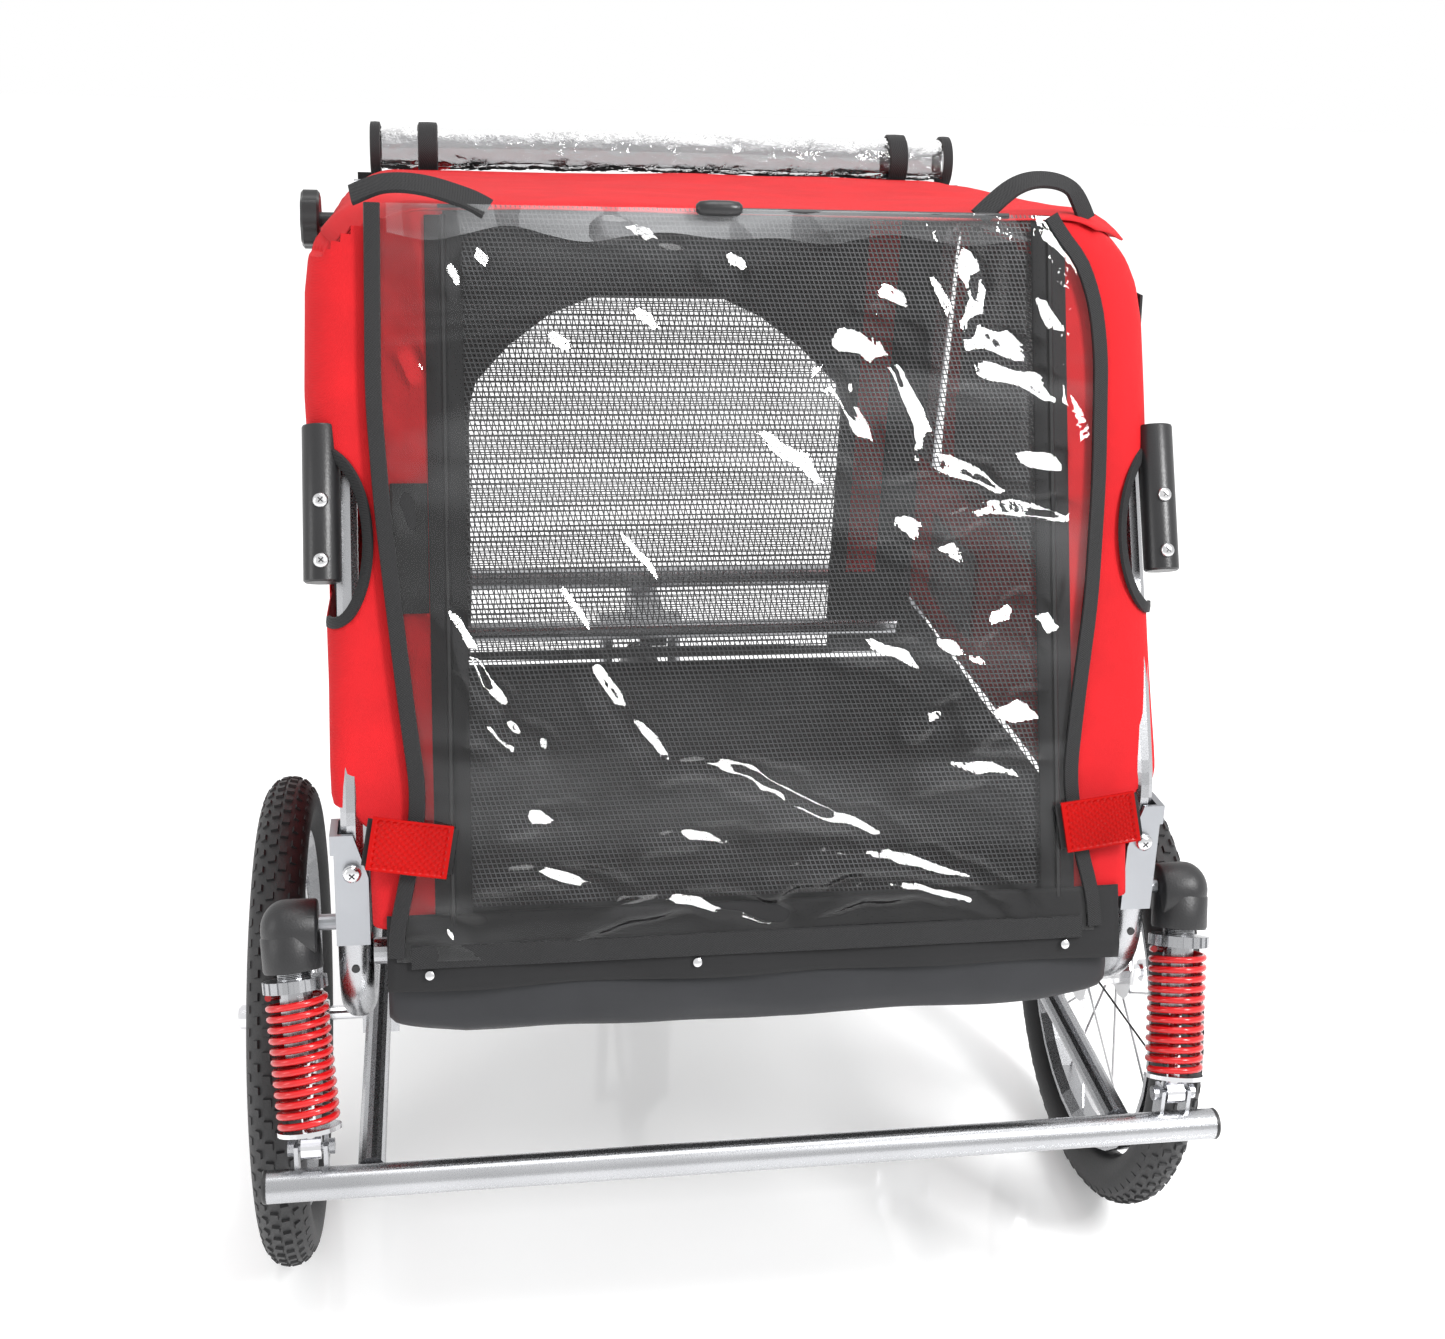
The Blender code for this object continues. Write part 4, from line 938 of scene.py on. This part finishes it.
def tub_and_floor():
    rows = []
    path = [(-0.2640, -0.4200), (-0.2640, 0.2245), (0.2640, 0.2245), (0.2640, -0.4200)]
    line = []
    for (ax, ay), (bx, by) in zip(path, path[1:]):
        for step in range(24):
            line.append((ax + (bx - ax) * step / 24, ay + (by - ay) * step / 24))
    line.append(path[-1])
    for i in range(14):
        t = i / 13
        row = []
        for x, y in line:
            inwards = Vector((-x, -y, 0)).normalized()
            height = 0.0970 if y < 0.2240 else 0.0140
            slack = inwards * 0.004 * noise.noise(Vector((x * 9, y * 9, t)))
            row.append(Vector((x, y, 0.3195 + height * t)) + slack)
        rows.append(row)
    obj = sheet_piece("tub_walls", rows, BLACK, thickness=0.0016)
    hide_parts("lower_tub")
    cloth(obj)
    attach(obj, "frame")
    rows = []
    for i in range(50):
        y = -0.4490 + 0.676 * i / 49
        row = []
        for j in range(40):
            rise = 0.0015 * noise.noise(Vector((j * 0.4, i * 0.4, 1)))
            row.append(Vector((-0.2650 + 0.53 * j / 39, y, 0.3206 + rise)))
        rows.append(row)
    mat = sheet_piece("floor_cloth", rows, BLACK, thickness=0.0030)
    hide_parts("floor_panel")
    cloth(mat)
    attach(mat, "frame")


def lining(side_name, side):
    """The red cloth that covers the gap between the tub and the side window, inside the hoop."""
    rows = []
    for i in range(24):
        z = 0.405 + (0.565 - 0.405) * i / 23
        along = np.linspace(-0.405, 0.222, 60)
        rows.append([Vector((side * (0.2790 + wrinkles(2, y, z, 0.8)), y, z)) for y in along])
    obj = sheet_piece("lining_" + side_name, rows, RED_DARK, thickness=0.0012)
    cloth(obj)
    collapses(obj)
    pocket = []
    for i in range(16):
        z = 0.440 + 0.085 * i / 15
        row = []
        for j in range(24):
            x = 0.2755 - 0.004 * math.sin(math.pi * j / 23)
            row.append(Vector((side * x, -0.02 + 0.16 * j / 23, z)))
        pocket.append(row)
    obj = sheet_piece("pocket_" + side_name, pocket, MESH_SIDE)
    cloth(obj)
    collapses(obj)


def loops():
    """Webbing loops at the rear corners of the roof."""
    left = smooth_line([
        (-0.285, -0.297, 0.884), (-0.262, -0.300, 0.893), (-0.235, -0.305, 0.893), (-0.205, -0.309, 0.885),
        (-0.190, -0.312, 0.878),
    ])
    right = smooth_line([
        (0.168, -0.311, 0.879), (0.196, -0.300, 0.900), (0.222, -0.290, 0.9050), (0.246, -0.286, 0.898),
        (0.259, -0.290, 0.876),
    ])
    collapses(band_piece("corner_loop_left", left, Vector((0, -0.6, 0.8)), 0.020, 0.0022, WEBBING))
    collapses(band_piece("corner_loop_right", right, Vector((0, -0.7, 0.7)), 0.016, 0.0022, WEBBING))


def toggle():
    """The zip's pull, and the zip along the roof's rear edge that it runs on."""
    outline = (
        (0, 0.0), (0.0004, 0.0028), (0.003, 0.0050), (0.010, 0.0058),
        (0.024, 0.0058), (0.031, 0.0050), (0.0335, 0.0028), (0.034, 0.0),
    )
    obj = turned_piece("zip_pull", outline, (-0.044, -0.3225, 0.8825), (1, 0, 0), PLASTIC, 24, 60)
    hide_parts("zip_toggle")
    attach(obj, "zip_toggle")
    line = [Vector((x, -0.3130, 0.8800)) for x in np.linspace(-0.010, 0.190, 60)]
    teeth = tube_piece("roof_zip", line, 0.0022, PLASTIC, 6)
    collapses(teeth)


def reflector(side_name, side):
    """A ribbed lens on a strap that ties the cover's corner down."""
    tilt = math.radians(-10 if side < 0 else 8)
    centre = Vector((side * 0.2510, face_y(0.458) - 0.0165, 0.4580))
    across = Vector((math.cos(tilt), 0, math.sin(tilt)))
    up = NORMAL.cross(across).normalized()
    if up.z < 0:
        up = -up
    half_w, half_h = 0.0280, 0.0185
    points, faces = [], []
    columns, rows = 46, 31
    for i in range(rows):
        for j in range(columns):
            a, b = -1 + 2 * j / (columns - 1), -1 + 2 * i / (rows - 1)
            rib = 0.0007 * (((j // 2) + (i // 2)) % 2) if max(abs(a), abs(b)) < 0.9 else 0.0012
            bow = 0.0015 * (1 - a * a)
            points.append(centre + across * (a * half_w) + up * (b * half_h) + NORMAL * (rib + bow))
    faces = grid_faces(rows, columns)
    lens = mesh_piece("reflector_lens_" + side_name, points, faces, LENS, smooth=False)
    thick = lens.modifiers.new("thickness", "SOLIDIFY")
    thick.thickness = 0.0035
    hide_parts("reflector_" + side_name)
    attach(lens, "frame")
    strap = [centre + across * (half_w * t) - NORMAL * 0.0035 for t in (-1.12, -0.5, 0, 0.5, 1.12)]
    band = band_piece("reflector_strap_" + side_name, strap, NORMAL, 0.0330, 0.0022, BLACK)
    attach(band, "frame")


# Metalwork -----------------------------------------------------------------------------------

def rails(side_name, side):
    """A base rail with its upturned ends, and the spare hole in its rear leg."""
    x, rear, front = side * RAIL_X, AXLE_Y - 0.190, AXLE_Y + 0.490
    corners = [(x, rear, 0.3755), (x, rear, 0.300), (x, front, 0.300), (x, front, 0.3755)]
    obj = tube_piece("rail_tube_" + side_name, filleted(corners, [0.055, 0.055]), 0.0125, SILVER, 32)
    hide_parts("base_rail_" + side_name)
    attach(obj, "frame")
    disc = ((0, 0.0), (0, 0.0030), (0.0006, 0.0030), (0.0006, 0.0))
    hole = turned_piece("rail_hole_" + side_name, disc, (x, AXLE_Y - 0.2027, 0.3560), (0, -1, 0), PLASTIC, 20)
    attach(hole, "frame")


def shock_frame(side):
    """The shock's lower end, its axis, and two directions square to it."""
    low = Vector((side * SHOCK_LOWER[0], SHOCK_LOWER[1], SHOCK_LOWER[2]))
    high = Vector((side * SHOCK_UPPER[0], SHOCK_UPPER[1], SHOCK_UPPER[2]))
    axis = (high - low).normalized()
    first = axis.cross(Vector((0, 1, 0))).normalized()
    return low, axis, first, axis.cross(first)


def coil(side_name, side):
    """The coil spring, on the shock's body."""
    low, axis, first, second = shock_frame(side)
    line = []
    turns, steps = 12, 26
    for i in range(turns * steps + 1):
        share = i / (turns * steps)
        squeeze = min(1, share * 16, (1 - share) * 16)
        angle = 2 * math.pi * turns * share
        centre = low + axis * (0.0175 + 0.0913 * share)
        line.append(centre + (first * math.cos(angle) + second * math.sin(angle)) * (0.0197 + 0.0002 * squeeze))
    obj = tube_piece("coil_spring_" + side_name, line, 0.0026, RED_PAINT, 10)
    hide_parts("spring_" + side_name)
    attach(obj, "shock_" + side_name)
    tuple(axis)
    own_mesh(obj)


def shock_details(side_name, side):
    """The notches and thread of the preload ring, and the rubber boot over the shock's upper end."""
    low, axis, first, second = shock_frame(side)
    base = low + axis * 0.1120
    made = []
    for i in range(18):
        angle = 2 * math.pi * i / 18
        way = first * math.cos(angle) + second * math.sin(angle)
        cross = axis.cross(way)
        start = base + way * 0.0219
        points = []
        for a in (0.0002, 0.0084):
            for b in (-0.0018, 0.0018):
                for c in (0, 0.0011):
                    points.append(start + axis * a + cross * b + way * c)
        faces = [(0, 1, 3, 2), (4, 6, 7, 5), (0, 4, 5, 1), (2, 3, 7, 6), (1, 5, 7, 3), (0, 2, 6, 4)]
        made.append(mesh_piece("notch", points, faces, SILVER, smooth=False))
    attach(join("ring_notches_" + side_name, made), "shock_" + side_name)
    thread = []
    for i in range(7 * 24):
        angle = 2 * math.pi * i / 24
        around = (first * math.cos(angle) + second * math.sin(angle)) * 0.0117
        thread.append(low + axis * (0.1212 + 0.0012 * i / 24) + around)
    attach(tube_piece("ring_thread_" + side_name, thread, 0.00045, SILVER, 6), "shock_" + side_name)
    outline = [(-0.0200, 0.0), (-0.0200, 0.0195), (-0.0185, 0.0210)]
    for i in range(14):
        angle = math.radians(90 * i / 13)
        outline.append((0.0020 + 0.0185 * math.sin(angle), 0.0212 * math.cos(angle)))
    top = (side * SHOCK_UPPER[0], SHOCK_UPPER[1], SHOCK_UPPER[2])
    boot = turned_piece("boot_top", outline, top, (side, 0, 0), RUBBER, 48, 60)
    length = 0.1560
    lower = (
        (length - 0.0270, 0.0150), (length - 0.0300, 0.0205), (length - 0.0280, 0.0214),
        (length - 0.0050, 0.0212), (length + 0.004, 0.0150),
    )
    skirt = turned_piece("boot_skirt", lower, low, axis, RUBBER, 48, 60)
    obj = join("shock_boot_" + side_name, [boot, skirt])
    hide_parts("shock_cap_" + side_name)
    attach(obj, "shock_" + side_name)


def screw(name, place, way, radius, body):
    """A round cross-recess screw head."""
    dome = ((0, 0.0), (0, radius), (0.0008, radius), (0.0022, radius * 0.82), (0.0030, radius * 0.5), (0.0032, 0.0))
    head = turned_piece(name, dome, place, way, STEEL, 28, 50)
    way = Vector(way).normalized()
    across = way.orthogonal().normalized()
    made = [head]
    for turn in (across, way.cross(across)):
        line = [Vector(place) + way * 0.0032 + turn * (radius * t) for t in (-0.42, 0.42)]
        made.append(band_piece("slot", line, way, radius * 0.16, 0.0005, PLASTIC))
    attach(join(name, made), body)


def socket_details(side_name, side):
    """The tube that takes the push handle, and its two screws."""
    lean = math.radians(24.31)
    way = Vector((0, math.sin(lean), math.cos(lean)))
    out = Vector((0, -math.cos(lean), math.sin(lean)))
    centre = Vector((side * 0.3080, AXLE_Y - 0.1215, 0.6785))
    outline = (
        (-0.0553, 0.0), (-0.0553, 0.0118), (-0.0540, 0.0132), (0.0540, 0.0134), (0.0553, 0.0128),
        (0.0553, 0.0116), (0.0545, 0.0112), (-0.0400, 0.0112), (-0.0400, 0.0),
    )
    tube = turned_piece("push_handle_socket_" + side_name, outline, centre, way, PLASTIC, 48, 35)
    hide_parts("handlebar_socket_" + side_name)
    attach(tube, "side_" + side_name)
    for index, offset in enumerate((0.001, -0.041)):
        place = centre + way * offset + out * 0.0132
        screw(f"socket_screw_{side_name}_{index}", place, out, 0.0054, "side_" + side_name)


def knob(side_name, side):
    """A lobed clamp knob."""
    start = Vector((side * 0.3065, AXLE_Y + 0.160, 0.8400))
    profile = (
        (0.0, 0.0060), (0.0125, 0.0060), (0.0126, 0.0205), (0.0145, 0.0228),
        (0.0255, 0.0228), (0.0275, 0.0205), (0.0278, 0.0120), (0.0268, 0.0),
    )
    points, sides = [], 72
    for distance, radius in profile:
        for j in range(sides):
            angle = 2 * math.pi * j / sides
            lobe = 1 + (0.045 * math.cos(8 * angle) if radius > 0.015 else 0)
            reach = radius * lobe
            points.append(start + Vector((side * distance, reach * math.cos(angle), reach * math.sin(angle))))
    obj = mesh_piece("knob_" + side_name, points, grid_faces(len(profile), sides, True), PLASTIC, angle=35)
    clean(obj.data, weld=True)
    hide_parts("clamp_knob_" + side_name)
    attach(obj, "knob_" + side_name)


def cross_bar():
    """A smooth tube laid over the rear cross bar, and the plugs in its ends."""
    y, z = AXLE_Y - 0.2487, 0.2100
    outline = [(0, 0.0), (0, 0.0112), (0.0006, 0.0117), (0.7124, 0.0117), (0.7130, 0.0112), (0.7130, 0.0)]
    bar = turned_piece("cross_bar_tube", outline, (-0.3565, y, z), (1, 0, 0), SILVER, 56)
    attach(bar, "suspension")
    plugs = []
    dome = ((0, 0.0), (0, 0.0119), (0.0020, 0.0119), (0.0032, 0.0108), (0.0034, 0.0))
    for side in (-1, 1):
        plugs.append(turned_piece("plug", dome, (side * 0.3562, y, z), (side, 0, 0), RUBBER, 40))
    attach(join("bar_plugs", plugs), "suspension")


# Each row of tread blocks: its angle from the tyre's crown in degrees, and half its blocks' length and width.
TREAD = (
    (-62, 0.0036, 0.0030), (-36, 0.0034, 0.0034), (-11, 0.0036, 0.0036),
    (11, 0.0036, 0.0036), (36, 0.0034, 0.0034), (62, 0.0036, 0.0030),
)


def tyre(name, centre, radius, section, body, blocks):
    """A knobbly tyre: a round casing with rows of tread blocks."""
    centre = Vector(centre)
    points, rings, around = [], 96, 28
    for i in range(rings):
        turn = 2 * math.pi * i / rings
        for j in range(around):
            angle = 2 * math.pi * j / around
            across = section * 0.93 * math.cos(angle)
            reach = radius - section + (section - 0.0022) * math.sin(angle)
            points.append(centre + Vector((across, reach * math.cos(turn), reach * math.sin(turn))))
    faces = []
    for i in range(rings):
        for j in range(around):
            k, after = (j + 1) % around, (i + 1) % rings
            faces.append((i * around + j, i * around + k, after * around + k, after * around + j))
    lumps = []
    for i in range(blocks):
        for row, (tilt, size, wide) in enumerate(TREAD):
            turn = 2 * math.pi * (i + 0.5 * ((row + 1) % 2)) / blocks
            lumps.append((turn, math.radians(90 - tilt), size, wide))
    for turn, angle, size, wide in lumps:
        base = len(points)
        for height, shrink in ((-0.0008, 1.0), (0.0022, 0.82)):
            for a, b in ((-1, -1), (1, -1), (1, 1), (-1, 1)):
                local = angle + b * wide * shrink / section
                spin = turn + a * size * shrink / radius
                rise = section - 0.0022 + height
                across = (rise * 0.93 if abs(math.cos(local)) > 0.5 else rise) * math.cos(local)
                reach = radius - section + rise * math.sin(local)
                points.append(centre + Vector((across, reach * math.cos(spin), reach * math.sin(spin))))
        faces.append((base + 4, base + 5, base + 6, base + 7))
        for k in range(4):
            faces.append((base + k, base + (k + 1) % 4, base + 4 + (k + 1) % 4, base + 4 + k))
    obj = mesh_piece(name, points, faces, TYRE, angle=38)
    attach(obj, body)
    return obj


def floor():
    mesh = bpy.data.meshes.new("studio_floor")
    mesh.from_pydata([(-14, -14, 0), (14, -14, 0), (14, 14, 0), (-14, 14, 0)], [], [(0, 1, 2, 3)])
    made = Nodes("floor_white")
    broad = made.noise(0.6, 2)
    made.link(made.ramp(broad, ((0.2, (0.93, 0.93, 0.935)), (0.8, (0.95, 0.95, 0.95)))), "Base Color")
    made.set(Roughness=0.06, Specular_IOR_Level=0.45)
    made.set(Emission_Color=(1, 1, 1, 1), Emission_Strength=0.22)
    obj = link(bpy.data.objects.new("studio_floor", mesh), made.material)


# Assembly ------------------------------------------------------------------------------------

make_camera()
make_world()
floor()
roof()
door()
zips()
hem()
rear_cover()
cover_top_strip()
cover_binding()
velcro()
front_panel()
cover_roll()
rear_pad()
snaps()
tub_and_floor()
loops()
toggle()
cross_bar()
for side_name, side in SIDES:
    rear_corner(side_name, side)
    cutout_binding(side_name, side)
    side_wall(side_name, side)
    lining(side_name, side)
    window_binding(side_name, side)
    reflector(side_name, side)
    rails(side_name, side)
    coil(side_name, side)
    shock_details(side_name, side)
    socket_details(side_name, side)
    knob(side_name, side)
    head = (side * RAIL_X, AXLE_Y - 0.190 - 0.0188, 0.434)
    screw("hinge_head_" + side_name, head, (0, -1, 0), 0.0062, "frame")
    made = tyre("tread_" + side_name, (side * 0.355, AXLE_Y, 0.200), 0.200, 0.0222, "wheel_" + side_name, 72)
    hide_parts("tyre_" + side_name)
made = tyre("tread_front", (0, AXLE_Y + 0.600, 0.150), 0.150, 0.0205, "front_wheel", 54)
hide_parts("tyre_front")

FINISH = {
    "silver_tube": SILVER, "grey_bracket": GREY, "chrome": CHROME, "steel_fastener": STEEL,
    "red_fabric": RED, "red_paint": RED_PAINT, "reflector_red": LENS, "black_fabric": BLACK,
    "black_plastic": PLASTIC, "rubber": RUBBER, "clear_vinyl": VINYL,
}
for entry in frame["record"]["subparts"]:
    node = frame["nodes"][entry["node"]]
    node.data.materials.clear()
    node.data.materials.append(FINISH[entry["material_slot"]])
